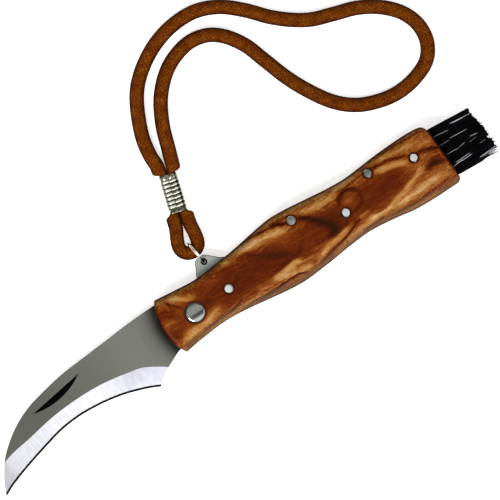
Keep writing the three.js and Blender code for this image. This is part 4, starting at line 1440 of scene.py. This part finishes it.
BLADE_BACK_SHARES = np.array([
    [0.114, 0.356], [0.227, 0.345], [0.341, 0.317], [0.455, 0.289], [0.568, 0.258], [0.682, 0.19],
    [0.739, 0.143], [0.795, 0.07], [0.852, -0.037], [0.909, -0.183], [0.943, -0.308], [0.977, -0.484],
    [1, -0.645],
])
BLADE_EDGE_SHARES = np.array([
    [1, -0.645], [0.955, -0.575], [0.886, -0.498], [0.795, -0.414], [0.682, -0.326], [0.591, -0.3],
    [0.511, -0.315], [0.455, -0.341], [0.398, -0.381], [0.341, -0.44], [0.303, -0.487], [0.267, -0.542],
])
BLADE_CHOIL_SHARES = np.array([[0.216, -0.41], [0.136, -0.293]])
GRIND_SHARES = np.array([
    [1.006, -0.62], [0.952, -0.33], [0.903, -0.245], [0.795, -0.187], [0.682, -0.125], [0.568, -0.101],
    [0.455, -0.114], [0.341, -0.176], [0.284, -0.223], [0.227, -0.33], [0.194, -0.407],
])
GRIND_EDGE_SHARES = np.concatenate([
    [[1.01, -0.69]], BLADE_EDGE_SHARES[1:7], BLADE_EDGE_SHARES[8:10], [[0.29, -0.509], [0.26, -0.56]],
])


@dataclass(frozen=True)
class BladeFlat:
    """Satin flat of the blade. It brightens towards the heel in painted light, and a painted shadow darkens
    it beside the handle's bowed end.

    reach: how far the handle's end lies from the pivot, in millimetres.
    bow: how much less for each millimetre squared away from the middle.
    """

    name: str = "blade_flat"
    reach: float = 12.9
    bow: float = 0.021

    def material(self) -> Finish:
        """Builds the finish.

        Returns:
            The material.
        """
        s = Shader(bpy.data.materials.new(self.name))
        place = s.place()
        x, y, _ = s.parts(place)
        fine = s.noise(s.stretch(place, (0.35, 7, 1)), 1, 5, 0.65)
        broad = s.noise(place, 0.08, 2)
        # Painted light: the flat brightens from the tip towards the heel.
        shade = s.ramp(s.spread(s.math("ADD", x, s.math("MULTIPLY", broad, 1.5)), -90, -8), [
            (0.0, (0.074, 0.075, 0.062)), (0.35, (0.078, 0.079, 0.067)), (0.6, (0.106, 0.109, 0.093)),
            (0.78, (0.139, 0.142, 0.121)), (0.9, (0.14, 0.141, 0.123)),
        ])
        # Painted shadow of the handle's bowed end, darkest next to it.
        from_handle = s.math("SUBTRACT", s.math("MULTIPLY", s.math("MULTIPLY", y, y), self.bow), x)
        near = s.ramp(s.spread(from_handle, self.reach, self.reach + 10), [
            (0.0, 0.04), (0.11, 0.17), (0.21, 0.4), (0.35, 0.68), (0.52, 0.88), (0.8, 1.0),
        ])
        shade = s.mix(1.0, shade, near, "MULTIPLY")
        colour = s.mix(s.spread(fine, 0.3, 0.75, 0, 0.3), shade, (0.05, 0.05, 0.045))
        return s.finish(
            Base_Color=colour, Metallic=1.0, Roughness=s.spread(fine, 0.2, 0.8, 0.34, 0.46),
            Normal=s.bump(fine, 0.002 * MM),
        )


@dataclass(frozen=True)
class BladeGround:
    """Bright bevel, ground across the edge, with painted shading that darkens it towards the heel."""

    name: str = "blade_bevel"

    def material(self) -> Finish:
        """Builds the finish.

        Returns:
            The material.
        """
        s = Shader(bpy.data.materials.new(self.name))
        place = s.place()
        lines = s.noise(s.stretch(place, (3.2, 0.3, 1)), 1, 5, 0.75)
        colour = s.mix(s.spread(lines, 0.46, 0.75), (0.5, 0.5, 0.53), (0.31, 0.31, 0.355))
        # Painted shading along the bevel: brightest some way in from the tip, darkest at the heel.
        along = s.ramp(s.spread(s.parts(place)[0], -88, -18), [
            (0.0, 0.84), (0.2, 0.85), (0.38, 1.0), (0.6, 0.88), (0.82, (0.56, 0.56, 0.58)),
            (0.92, (0.42, 0.415, 0.45)), (1.0, (0.38, 0.375, 0.41)),
        ])
        colour = s.mix(1.0, colour, along, "MULTIPLY")
        return s.finish(
            Base_Color=colour, Metallic=1.0, Roughness=0.3, Normal=s.bump(lines, 0.002 * MM),
        )


@dataclass
class Blade:
    """The hooked blade: a flat plate, ground from both faces along its edge, with a nail nick and a tang.

    past: how far a grinding wedge reaches, as a share of the bevel's width.
    hone_deep, hone_past, hone_low: how deep the fine bevel starts, and how far out and down it ends.
    tilted: faces whose normals' Z lies between these are ground ones.
    nick_low: how far the nick's hollow reaches below its middle, at most.
    skin: faces less than this below the upper face belong to it.
    """

    reach: float = 88 * MM
    height: float = 27.3 * MM
    edge_thick: float = 0.24 * MM
    fine_edge: float = 0.78 * MM
    tang_radius: float = 5.4 * MM
    tang_flat: float = 5.15 * MM
    shoulder: float = 6.2 * MM
    neck_low: float = 4.95 * MM
    closed: float = 165.0
    bore: float = 2.29 * MM
    past: float = 1.25
    hone_deep: float = 0.09 * MM
    hone_past: float = 0.3 * MM
    hone_low: float = 0.04 * MM
    edge_points: int = 160
    nick_at: tuple[float, float] = (-54.8 * MM, 2.4 * MM)
    nick_length: float = 20.8 * MM
    nick_sag: float = 2.1 * MM
    nick_depth: float = 0.75 * MM
    nick_tilt: float = 8.9
    nick_low: float = 4 * MM
    tilted: tuple[float, float] = (0.6, 0.9995)
    skin: float = 0.02 * MM

    def curve(self, shares: Array, count: int) -> Array:
        """A smooth curve through a table of shares of the reach and the height."""
        return through(shares * [-self.reach, self.height], count, 0)

    def outline(self) -> Array:
        """Outline of the blade, from the tang's shoulder round the tip to the tang's foot.

        Returns:
            Points, two numbers a row.
        """
        flat = math.pi / 2 - math.radians(self.closed)
        foot = self.tang_flat * np.array([math.cos(flat), math.sin(flat)])
        neck = foot + self.neck_low * np.array([math.sin(flat), -math.cos(flat)])
        back, edge = self.curve(BLADE_BACK_SHARES, 140), self.curve(BLADE_EDGE_SHARES, self.edge_points)
        choil = BLADE_CHOIL_SHARES * [-self.reach, self.height]
        tang = [neck, foot, [0, 0], [0, self.tang_flat], [-self.shoulder, self.tang_flat]]
        return np.concatenate([[[-self.shoulder, back[0, 1]]], back, edge[1:], choil, tang])

    def heel(self) -> Array:
        """Outline of the tang's round heel, with a flat under the spring for each place of the blade.

        Returns:
            Points, two numbers a row.
        """
        angle = angles(144)
        radius = np.full_like(angle, self.tang_radius)
        for flat in (math.pi / 2, math.pi / 2 - math.radians(self.closed)):
            lean = np.cos(angle - flat)
            radius = np.where(lean > 0, np.minimum(radius, self.tang_flat / np.maximum(lean, 1e-6)), radius)
        return radius[:, None] * np.stack([np.cos(angle), np.sin(angle)], axis=1)

    def wedge(self, side: int, half: float, middle: float) -> Surface:
        """What is ground off one face, from the grind line out past the edge.

        Args:
            side: 1 for the upper face, -1 for the lower.
            half: half the blade's thickness.
            middle: height of its middle.

        Returns:
            The cutter.
        """
        inner, line = self.curve(GRIND_SHARES, 120), self.curve(GRIND_EDGE_SHARES, 120)
        outer = inner + self.past * (line - inner)
        depth = (half - self.edge_thick / 2) * self.past
        return self.cutter((inner, outer), (half, half - depth, half + OVERRUN), side, middle)

    def cutter(self, lines: Sequence[Array], heights: Sequence[float], side: int, middle: float) -> Surface:
        """A wedge between two lines on one face.

        Args:
            lines: the lines that it starts from and ends at.
            heights: its heights above the middle at each line, and the height of its flat back.
            side: 1 for the upper face, -1 for the lower.
            middle: height of the blade's middle.

        Returns:
            The cutter.
        """
        (inner, outer), (first, last, top) = lines, heights
        corners = ((inner, first), (outer, last), (outer, top), (inner, top))
        return tube(np.stack([lifted(line, middle + side * height) for line, height in corners], axis=1))

    def hone(self, side: int, middle: float) -> Surface:
        """The fine bevel at the very edge: a steeper wedge along the edge line.

        Args:
            side: 1 for the upper face, -1 for the lower.
            middle: height of the blade's middle.

        Returns:
            The cutter.
        """
        edge = self.curve(BLADE_EDGE_SHARES, self.edge_points)
        out = sideways(edge)
        out *= np.sign(((edge - self.curve(GRIND_SHARES, self.edge_points)) * out).sum(axis=1).mean())
        lines = edge - out * self.fine_edge, edge + out * self.hone_past
        heights = self.edge_thick / 2 + self.hone_deep, -self.hone_low, OVERRUN
        return self.cutter(lines, heights, side, middle)

    def nick(self, top: float) -> Surface:
        """The crescent for a fingernail: a segment of a circle that slopes down to its straight side.

        Args:
            top: height of the face that it is cut into.

        Returns:
            The cutter.
        """
        half = self.nick_length / 2
        radius = (half**2 + self.nick_sag**2) / (2 * self.nick_sag)
        reach = math.asin(half / radius)
        angle = np.linspace(-math.pi / 2 - reach, -math.pi / 2 + reach, 60)
        arc = np.stack([radius * np.cos(angle), radius - self.nick_sag + radius * np.sin(angle)], axis=1)
        solid = prism(arc, 0, self.nick_depth + OVERRUN)
        turn = turn_z(math.radians(self.nick_tilt)) @ turn_x(-math.asin(self.nick_depth / self.nick_sag))
        solid.points = solid.points @ turn.T + [*self.nick_at, top - self.nick_depth]
        return solid

    def build(self) -> None:
        """Makes the blade and gives each of its ground faces a finish."""
        low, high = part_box("blade")
        middle, half = (low.z + high.z) / 2, (high.z - low.z) / 2
        body = prism(self.outline(), low.z, high.z).piece("blade_steel")
        carve(body, "UNION", prism(self.heel(), low.z, high.z))
        cuts = [drill(self.bore, low.z - MM, high.z + MM, PIVOT)]
        cuts += [self.wedge(side, half, middle) for side in (1, -1)]
        cuts += [self.hone(side, middle) for side in (1, -1)]
        carve(body, "DIFFERENCE", *cuts, self.nick(high.z))
        # Painted shade: black on the honed strip along the edge and in the nick's hollow.
        dark = Steel("blade_painted_shade", (0.006, 0.006, 0.006), 0.5).material()
        centre, normal = (values(body.data.polygons, name) for name in ("center", "normal"))
        level = np.abs(normal[:, 2])
        ground = (level > self.tilted[0]) & (level < self.tilted[1])
        edge = self.curve(BLADE_EDGE_SHARES, self.edge_points)
        honed = np.hypot(*(centre[:, None, :2] - edge).T).min(axis=0) < 0.8 * self.fine_edge
        in_nick = apart(centre, self.nick_at) < self.nick_length / 2
        in_nick &= centre[:, 1] > self.nick_at[1] - self.nick_low
        in_nick &= (centre[:, 2] < high.z - self.skin) & (centre[:, 2] > middle)
        which = np.where(in_nick | honed, 2, np.where(ground, 1, 0))
        coat(body, (BladeFlat().material(), BladeGround().material(), dark), which)
        dress(body, dark, Slot.BLADE_STEEL, "blade", "blade", 4)


# Brush.


@dataclass(frozen=True)
class Bristle:
    """Black nylon. The value glint at its points shows where a strand catches the light."""

    name: str = "bristle_black"
    black: tuple[float, float, float] = (0.0015, 0.0015, 0.002)
    bright: tuple[float, float, float] = (0.75, 0.75, 0.8)

    def material(self) -> Finish:
        """Builds the finish.

        Returns:
            The material.
        """
        s = Shader(bpy.data.materials.new(self.name))
        streaks = s.noise(s.stretch(s.place(), (0.1, 4, 2)), 1, 3, 0.6)
        faint = s.mix(s.spread(streaks, 0.6, 0.78), self.black, (0.03, 0.03, 0.033))
        return s.finish(
            Base_Color=s.mix(s.value("glint"), faint, self.bright), Roughness=0.5, Specular_IOR_Level=0.08,
        )


@dataclass
class Brush:
    """The brush: a plastic block between the scales, and rows of stiff strands at its rear.

    tips: how far the strands reach, in millimetres: place across the brush, then along it.
    glints: upper strands that catch the light: X and Y where it starts and ends, and its strength.
    strays: strands that stand apart: Y at the root, then X and Y of the tip.
    sunk: how far the strands reach into their slice of backing.
    """

    rows: int = 26
    strands_per_row: int = 72
    margin: float = 0.35 * MM
    thick: float = 0.3 * MM
    lit_thick: float = 0.2 * MM
    lit_drop: float = 0.6 * MM
    stray_thick: float = 0.36 * MM
    sunk: float = 0.3 * MM
    step: float = 6.8 * MM
    step_y: float = 0.9 * MM
    slice_thick: float = 1.2 * MM
    sides: int = 4
    seed: int = 7
    tips: tuple = (
        (-10, 116.8), (-8.3, 117.0), (-5, 117.0), (-3, 116.8), (0, 116.7), (3, 116.2), (5, 115.6),
        (8, 115.8), (9.3, 115.6),
    )
    glints: tuple = (
        (107.5, 6.75, 115, 5.9, 0.75), (108.5, 6.45, 112, 6.1, 0.5), (100.5, 5.9, 105.5, 5.3, 0.4),
        (105, 2.6, 111, 2.1, 0.5), (100.4, 2.35, 104, 2.2, 0.25), (101, -1.5, 104.5, -1.7, 0.45),
        (104.5, -1.9, 108, -1.35, 0.4), (111, -0.6, 113.3, -0.9, 0.8), (109.8, -2.1, 112.2, -1.9, 0.4),
        (100.3, -6.2, 104.2, -5.8, 1.0), (102, -5.4, 107.5, -5.3, 0.55), (104, -6.1, 108, -5.9, 0.6),
        (110, -8.4, 116.5, -8.1, 0.9), (111, -8.75, 116.2, -8.55, 0.35), (112.5, -4.4, 114.5, -4.3, 0.3),
    )
    strays: tuple = (
        (-8.9, 116.5, -9.1), (-9.0, 116.8, -9.5), (-9.1, 116.2, -9.85), (-9.1, 116.4, -10.2),
        (-4.5, 117.3, -5.1), (-6.5, 117.2, -6.6), (1.2, 117.1, 1.1), (-1.8, 117.2, -2.2),
    )

    def block(self, handle: Handle, material: Finish) -> None:
        """Makes the stepped block with the hole for its pin.

        Args:
            handle: the handle that holds it.
            material: its finish.
        """
        low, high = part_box("brush_block")
        step, outline = low.x + self.step, [[low.x, self.step_y]]
        outline += [[step, self.step_y], [step, low.y], [high.x, low.y], [high.x, high.y], [low.x, high.y]]
        piece = prism(np.array(outline), low.z, high.z).piece("block_plastic")
        carve(piece, "DIFFERENCE", handle.hole("brush_pin", handle.steel_gap))
        dress(piece, material, Slot.BLACK_PLASTIC, "handle", "brush_block")

    def strands(self, root: Array, tip: Array, bend: Array, segments: int, thick: float) -> Surface:
        """Thin tapered tubes, one from each root to its tip, bowed sideways by a parabola.

        Args:
            root: starts of the centre lines.
            tip: their ends.
            bend: how far each bows out, four times over.
            segments: faces along a tube.
            thick: how thick a tube is at its root.

        Returns:
            All the tubes as one surface.
        """
        count, rings = len(root), segments + 1
        share = np.linspace(0, 1, rings)[None, :, None]
        line = root[:, None] + (tip - root)[:, None] * share + bend[:, None] * (share**2 - share)
        angle = angles(self.sides)
        across = np.stack([np.zeros(self.sides), np.cos(angle), np.sin(angle)], axis=1)
        radius = thick / 2 * (1 - 0.45 * share**3)
        points = line[:, :, None] + radius[..., None] * across
        each = rings * self.sides
        starts = (np.arange(count) * each)[:, None, None]
        walls = (grid_faces(rings, self.sides, around=True)[None] + starts).reshape(-1, 4)
        first = (np.arange(self.sides)[::-1] + starts).reshape(-1, self.sides)
        last = (np.arange(self.sides) + each - self.sides + starts).reshape(-1, self.sides)
        return Surface(points.reshape(-1, 3), [walls, first, last]).outward()

    def bundle(self, start: float, low: Sequence[float], high: Sequence[float], half: float) -> Surface:
        """The rows of strands. They draw together towards their tips, which are worn to uneven lengths.

        Args:
            start: where the strands leave the slice.
            low: lower corner of their box.
            high: upper corner of it.
            half: half the width that the roots take.

        Returns:
            The strands.
        """
        random = np.random.default_rng(self.seed)
        row, column = np.divmod(np.arange(self.rows * self.strands_per_row), self.strands_per_row)
        count = len(row)
        across = (column + row % 2 / 2) / (self.strands_per_row - 0.5) * 2 - 1
        across += random.normal(0, 0.012, count)
        up = row / (self.rows - 1) * 2 - 1 + random.normal(0, 0.02, count)
        across, up = np.clip(across, -1, 1), np.clip(up, -1, 1)
        deep, middle = (high[2] - low[2]) / 2 - self.margin, (high[2] + low[2]) / 2
        y, z = across * half, middle + up * deep
        to_y = y - (0.9 + 0.5 * across) * MM + random.normal(0, 0.16, count) * MM
        to_z = z - 0.9 * MM * up + random.normal(0, 0.25, count) * MM
        worn = random.uniform(0, 1, self.strands_per_row) ** 1.6
        worn = 0.75 * worn + 0.25 * np.roll(worn, 1)
        back = 1.3 * worn[column] + 0.9 * random.uniform(0, 1, count) ** 1.5
        back += np.where(across < -0.9, random.uniform(4, 7, count), 0)
        to_x = (np.interp(to_y / MM, *np.array(self.tips).T) - back) * MM
        bend = np.stack([np.zeros(count), *random.normal(0, 0.25, (2, count)) * MM], axis=1)
        root = np.stack([np.full(count, start), y, z], axis=1)
        tip = np.stack([to_x, to_y, np.clip(to_z, low[2] + self.thick, high[2] - self.thick)], axis=1)
        return self.strands(root, tip, bend, 4, self.thick)

    def tuft(self, material: Finish) -> None:
        """Makes the slice of backing, the bundle, the strands that catch the light and the strays.

        Args:
            material: their finish.
        """
        low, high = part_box("bristles")
        bottom, top = (corner.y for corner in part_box("brush_block"))
        rear = low.x + self.slice_thick
        start = rear - self.sunk
        bundle = self.bundle(start, low, high, (top - bottom - self.thick) / 2)
        x0, y0, x1, y1, strength = np.array(self.glints).T
        climb, one = (y1 - y0) / (x1 - x0), np.ones_like(x0)
        end, level = np.interp(y1, *np.array(self.tips).T) - 0.5, high.z - self.lit_thick
        root = np.column_stack([start * one, (y0 + climb * (start / MM - x0)) * MM, level * one])
        tip = np.column_stack([end * MM, (y0 + climb * (end - x0)) * MM, (level - self.lit_drop) * one])
        lit = self.strands(root, tip, np.zeros_like(root), 40, self.lit_thick)
        x = lit.points[:, 0].reshape(len(x0), -1) / MM
        glint = strength[:, None] * np.clip(np.minimum(x - x0[:, None], x1[:, None] - x) / 0.6 + 0.5, 0, 1)
        from_y, to_x, to_y = np.array(self.strays).T * MM
        level = np.linspace(low.z, high.z, len(to_x) + 2)[1:-1]
        stray = self.strands(
            np.column_stack([np.full(len(to_x), start), from_y, level]),
            np.column_stack([to_x, to_y, level]),
            np.column_stack([0 * to_x, to_y - from_y, 0 * to_x]), 8, self.stray_thick,
        )
        backing = cuboid((low.x, rear), (bottom, top), (low.z, high.z))
        piece = backing.joined(bundle, stray, lit).piece("bristle_strands")
        before = sum(len(part.points) for part in (backing, bundle, stray))
        paint(piece, "glint", np.concatenate([np.zeros(before), glint.ravel()]))
        dress(piece, material, Slot.BRISTLE, "handle", "bristles")

    def build(self, handle: Handle) -> None:
        """Makes the block and the strands."""
        self.block(handle, Black("block_black", 0.45, 0.5).material())
        self.tuft(Bristle().material())


# Lanyard.


def turn_x(angle: float) -> Array:
    """Matrix of a turn about X."""
    c, s = math.cos(angle), math.sin(angle)
    return np.array([[1, 0, 0], [0, c, -s], [0, s, c]])


def turn_z(angle: float) -> Array:
    """Matrix of a turn about Z."""
    c, s = math.cos(angle), math.sin(angle)
    return np.array([[c, -s, 0], [s, c, 0], [0, 0, 1]])


EYE_LEFT_SHARES = np.array([[0.28, 0.95], [0.55, 0.78], [0.8, 0.75]])
EYE_RIGHT_SHARES = np.array([[0.28, 0.98], [0.55, 0.81], [0.8, 0.76]])
LOOP_POINTS = np.array([
    [-2.65, 3.4], [-3.75, 7.2], [-4.5, 14.5], [-2.5, 27.7], [0.9, 34.8], [7.8, 42.5], [15.9, 47.6],
    [24.9, 50.1], [33.3, 49.2], [41.2, 45.7], [49, 40.9], [56.2, 37.7], [62.1, 36.1], [70.1, 35.7],
    [78.2, 35.4], [85.8, 33.4], [92.6, 29.3], [96.6, 23.8], [97.7, 17.3], [95.6, 11.4], [89.9, 6.6],
    [82.7, 3.6], [74.9, 2.9], [68, 3.9], [61.4, 7], [54.8, 12.5], [48.6, 19.3], [43, 27.2],
    [37.9, 34.3], [32.1, 39.1], [26.8, 41.1], [20.5, 40.7], [14.4, 37.6], [9.6, 33], [5.4, 25.4],
    [3.3, 16.4], [2.85, 7.8], [2.65, 3.4],
])


@dataclass
class Lanyard:
    """A wire ring in the ear, a short eye of cord round it, a ribbed crimp, and a long loop of cord.

    neck, tuck: how far a cord narrows before the crimp, and how far it goes on inside.
    squeeze: how much thinner the eye's cord is round the ring.
    draw: how much nearer each other the eye's strands lie than their solids can.
    lift: how far the braid stands out over the cord's radius, and above the floor.
    weave: height of the braid from its hollows to its tops.
    flat: shares of a cord's width and thickness that it loses at the crimp.
    seam: how much darker a cord's sides are kept, as painted shade.
    """

    ear: Array
    ring_radius: float = 4.07 * MM
    wire: float = 0.9 * MM
    ring_lean: float = 8.1
    lean: float = 16.3
    cord: float = 5.0 * MM
    eye_cord: float = 4.9 * MM
    eye_length: float = 10.9 * MM
    gap: float = 0.3 * MM
    crimp_length: float = 13.6 * MM
    crimp_width: float = 6.9 * MM
    crimp_thick: float = 5.0 * MM
    crimp_band: float = 1.7 * MM
    ribs: int = 7
    groove: float = 0.5 * MM
    valley: float = 0.24
    neck: float = 1.4 * MM
    tuck: float = 0.9 * MM
    squeeze: float = 0.1 * MM
    lift: float = 0.1 * MM
    weave: float = 0.32 * MM
    flat: tuple[float, float] = (0.44, 0.36)
    side_shade: float = 1.15
    ring_sides: tuple[int, int] = (120, 20)
    draw: float = 0.14 * MM
    cells: int = 10
    cell: float = 0.8 * MM

    @property
    def ear_z(self) -> float:
        """Height of the ear's middle."""
        low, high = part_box("rear_liner")
        return (low.z + high.z) / 2

    @property
    def slope(self) -> float:
        """Angle by which the eye and the crimp come down to the floor."""
        end = self.crimp_thick / 2 + self.lift
        return math.asin((self.ear_z - self.gap - end) / (self.eye_length + self.crimp_length))

    def sloped(self, points: Array) -> Array:
        """Points of the sloped eye and crimp, in the model's frame."""
        return self.placed(points @ turn_x(-self.slope).T)

    def placed(self, points: Array) -> Array:
        """Points of the lanyard, in the model's frame.

        Args:
            points: the same, from the ring's far side with the crimp along Y.

        Returns:
            The moved points.
        """
        angle = math.radians(self.ring_lean)
        reach = 2 * self.ring_radius + self.gap / 2
        x, y = self.ear[0] - reach * math.sin(angle), self.ear[1] + reach * math.cos(angle)
        return points @ turn_z(-math.radians(self.lean)).T + [x, y, self.ear_z - self.gap]

    def ring(self, material: Finish) -> None:
        """Makes the ring, a torus that stands on edge in the ear's hole.

        Args:
            material: its finish.
        """
        around, wire = (angles(count) for count in self.ring_sides)
        around = around[:, None]
        radius = self.ring_radius + self.wire / 2 * np.cos(wire)
        x = self.wire / 2 * np.sin(wire) + 0 * around
        y, z = self.ring_radius - radius * np.cos(around), radius * np.sin(around)
        grid = np.stack([x, y, z], axis=-1).reshape(-1, 3) @ turn_z(math.radians(self.ring_lean)).T
        points = grid + [*self.ear, self.ear_z]
        piece = Surface(points, [grid_faces(*self.ring_sides, True, True)]).outward().piece("wire_ring")
        # Painted shade: the wire turns dark where it goes down through the ear's hole.
        from_hole = apart(points, self.ear) / MM
        paint(piece, "shade", np.clip((from_hole - 1.0) / 0.5, 0, 1) * 1.1 - 0.3)
        dress(piece, material, Slot.PLATED_WIRE, "ring", "lanyard_ring")

    def eye_path(self) -> Array:
        """Centre line of the eye: down one strand, round the ring and up the other, drawn together.

        Returns:
            Points, two numbers a row.
        """
        bend = self.wire / 2 + self.gap / 2 + self.eye_cord / 2 + self.gap
        mouth, end = self.eye_cord / 2, self.eye_length
        left = EYE_LEFT_SHARES[::-1, ::-1] * [-bend, end] + [self.draw, 0]
        right = EYE_RIGHT_SHARES[:, ::-1] * [bend, end] - [self.draw, 0]
        angle = math.pi + np.arange(7) * math.pi / 6
        round_ring = bend * np.stack([np.cos(angle), np.sin(angle)], axis=1)
        return np.concatenate([[[-mouth, end]], left, round_ring, right, [[mouth, end]]])

    def loop_path(self) -> Array:
        """Centre line of the long loop."""
        mouth = self.cord / 2
        return np.concatenate([[[-mouth, 0]], LOOP_POINTS * MM, [[mouth, 0]]])

    def braid(self, around: Array, along: Array) -> Array:
        """Relief of the strands. Two sets of strands cross, each over and under the other.

        Args:
            around: angle round the cord.
            along: length along it.

        Returns:
            Heights from 0 between the strands to 1 at the top of one.
        """
        turn = self.cells * around / (2 * math.pi)
        a, b = turn + along / self.cell, turn - along / self.cell
        i, j = np.floor(a), np.floor(b)
        first, second = 1 - (2 * (a - i) - 1) ** 2, 1 - (2 * (b - j) - 1) ** 2
        over = 0.5 + 0.5 * np.cos(2 * math.pi * (b - i) / 4)
        under = 0.5 + 0.5 * np.cos(2 * math.pi * (a - j - 3) / 4)
        return np.maximum(first * (0.45 + 0.55 * over), second * (0.45 + 0.55 * under))

    def strand(self, name: str, path: Array, radius: float, place: Callable[[Array], Array], sides: int,
               step: float, tuck: float, squeeze: float = 0) -> tuple[Piece, Array]:
        """A braided cord along a path in one plane. It narrows in a quarter ellipse towards the crimp.

        Args:
            name: the object's name.
            path: centre line in the plane.
            radius: half the cord's thickness.
            place: takes points of the plane to the model's frame.
            sides: points round the cord.
            step: distance between rings.
            tuck: how far each end goes on inside the crimp's mouth.
            squeeze: how much the cord's middle is thinner, where it goes round a ring.

        Returns:
            The object and its centre line in the model's frame.
        """
        ends = [path[0] + tuck * unit(path[0] - path[1]), path[-1] + tuck * unit(path[-1] - path[-2])]
        rough = through(np.concatenate([[ends[0]], path, [ends[1]]]), 2000)
        count = int(length_of(rough) / step) + 1
        line = even(rough, count)
        run = np.linspace(0, length_of(line), count)
        side = sideways(line)
        to_end = np.minimum(run, run[-1] - run) - tuck
        pinch = 1 - sag(to_end / self.neck)
        between = path[-1] - path[0]
        inward = np.where(run < run[-1] / 2, np.sign(side[0] @ between), -np.sign(side[-1] @ between))
        width, thick = (1 - lost + lost * pinch for lost in self.flat)
        line = line + side * (inward * (1 - width) * radius)[:, None]
        angle = angles(sides)
        relief = self.braid(angle[None, :], run[:, None])
        middle = np.clip(3 - 4 * np.abs(2 * run / run[-1] - 1), 0, 1)[:, None]
        out = radius - squeeze * middle + self.lift - self.weave * (1 - relief)
        x = line[:, None, :] + side[:, None, :] * (width[:, None] * out * np.cos(angle)[None, :])[..., None]
        z = thick[:, None] * out * np.sin(angle)[None, :]
        rings = np.concatenate([x, z[..., None]], axis=-1)
        rings = place(rings.reshape(-1, 3)).reshape(rings.shape)
        piece = tube(rings).piece(name)
        # The relief also carries painted shade along the cord's sides.
        paint(piece, "relief", (relief + 0.12 - self.side_shade * np.abs(np.cos(angle))[None, :] ** 5).ravel())
        return piece, place(lifted(line, 0))

    def crimp_section(self, inset: Array, angle: Array) -> tuple[Array, Array]:
        """Section of the crimp: two lobes with a valley between them.

        Args:
            inset: how far it is drawn in.
            angle: angle round it.

        Returns:
            X and Z.
        """
        out = np.cos(angle)
        valley = 1 - self.valley * (1 - np.abs(out)) ** 2
        lobe = np.sign(np.sin(angle)) * np.abs(np.sin(angle)) ** 0.75
        return (self.crimp_width / 2 - inset) * out, (self.crimp_thick / 2 - inset) * lobe * valley

    def crimp(self, material: Finish) -> Piece:
        """Makes the crimp: round ribs between plain bands, with an open mouth at each end.

        Args:
            material: its finish.

        Returns:
            The piece.
        """
        pitch = (self.crimp_length - 2 * self.crimp_band) / self.ribs
        share = np.linspace(0, self.ribs, self.ribs * 14 + 1)
        within = 2 * (share - np.floor(share - 1e-9)) - 1
        groove = self.groove * (1 - np.sqrt(1 - np.clip(np.abs(within), 0, 1) ** 2))
        lip, wall, deep, edge = 0.25 * MM, 0.55 * MM, 1.4 * MM, 0.1 * MM
        mouth = np.array([
            [deep, wall], [lip, wall], [edge, wall - 0.12 * MM], [0, wall * 0.6], [0, lip],
            [edge, 0.07 * MM], [lip, 0],
        ])
        far = mouth[::-1] * [-1, 1] + [self.crimp_length, 0]
        ribbed = np.stack([self.crimp_band + share * pitch, groove], axis=1)
        profile = np.concatenate([mouth, ribbed, far])
        angle = angles(96)
        x, z = self.crimp_section(profile[:, 1, None], angle[None, :])
        y = np.broadcast_to(profile[:, 0, None] + self.eye_length, x.shape)
        rings = self.sloped(np.stack([x, y, z], axis=-1).reshape(-1, 3)).reshape(*x.shape, 3)
        piece = tube(rings).piece("ribbed_crimp")
        phase = (profile[:, 0] - self.crimp_band) / pitch
        on_ribs = (phase > 0) & (phase < self.ribs)
        crest = np.where(on_ribs, 0.5 - 0.5 * np.cos(2 * math.pi * phase), 0.7)[:, None]
        place = x / self.crimp_width + 0.5
        # Painted light: two highlight bars on the ribs, dark spots of painted reflection between the ribs
        # near one side, painted shade in the grooves, and paler sides.
        bars = np.exp(-((place - 0.3) / 0.16) ** 4) + np.exp(-((place - 0.73) / 0.075) ** 4)
        spots = np.exp(-((place - 0.865) / 0.04) ** 2) * (1 - crest)
        edges = np.clip((np.abs(place - 0.5) - 0.4) / 0.05, 0, 1)
        shade = 0.42 + 0.72 * bars * crest * on_ribs[:, None] + 0.2 * edges
        shade = shade - 1.3 * spots - 0.25 * (1 - crest)
        paint(piece, "shade", np.where(z > -0.3 * self.crimp_thick, shade, 0.5).ravel())
        return dress(piece, material, Slot.PLATED_WIRE, "lanyard", "cord_crimp", 60)

    def build(self) -> None:
        """Makes the ring, the eye, the crimp and the loop."""
        plated = Plated().material()
        self.ring(plated)
        crimp = self.crimp(plated)
        cloth = Braid().material()
        eye, line = self.strand(
            "eye_cord", self.eye_path(), self.eye_cord / 2, self.sloped, 56, 0.25 * MM, self.tuck,
            self.squeeze,
        )
        dress(eye, cloth, Slot.BRAIDED_CORD, "lanyard", "lanyard_eye", 180)
        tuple(line[0])
        length_of(line)
        far = (self.eye_length + self.crimp_length) * math.cos(self.slope) + self.gap
        far += self.crimp_thick / 2 * math.sin(self.slope)
        shift = np.array([0, far, self.cord / 2 + self.lift - (self.ear_z - self.gap)])
        loop, line = self.strand(
            "loop_cord", self.loop_path(), self.cord / 2, lambda points: self.placed(points + shift), 60,
            0.27 * MM, self.tuck + 2 * self.gap,
        )
        dress(loop, cloth, Slot.BRAIDED_CORD, "lanyard", "lanyard_loop", 180)
        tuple(line[0])
        length_of(line)


def main() -> None:
    """Builds the studio and the knife's pieces in order."""
    logging.basicConfig(level=logging.INFO, format="%(message)s")
    Studio().build()
    handle = Handle()
    Lanyard(handle.ear_hole()).build()
    handle.build()
    Blade().build()
    Brush().build(handle)


if __name__ == "__main__":
    main()
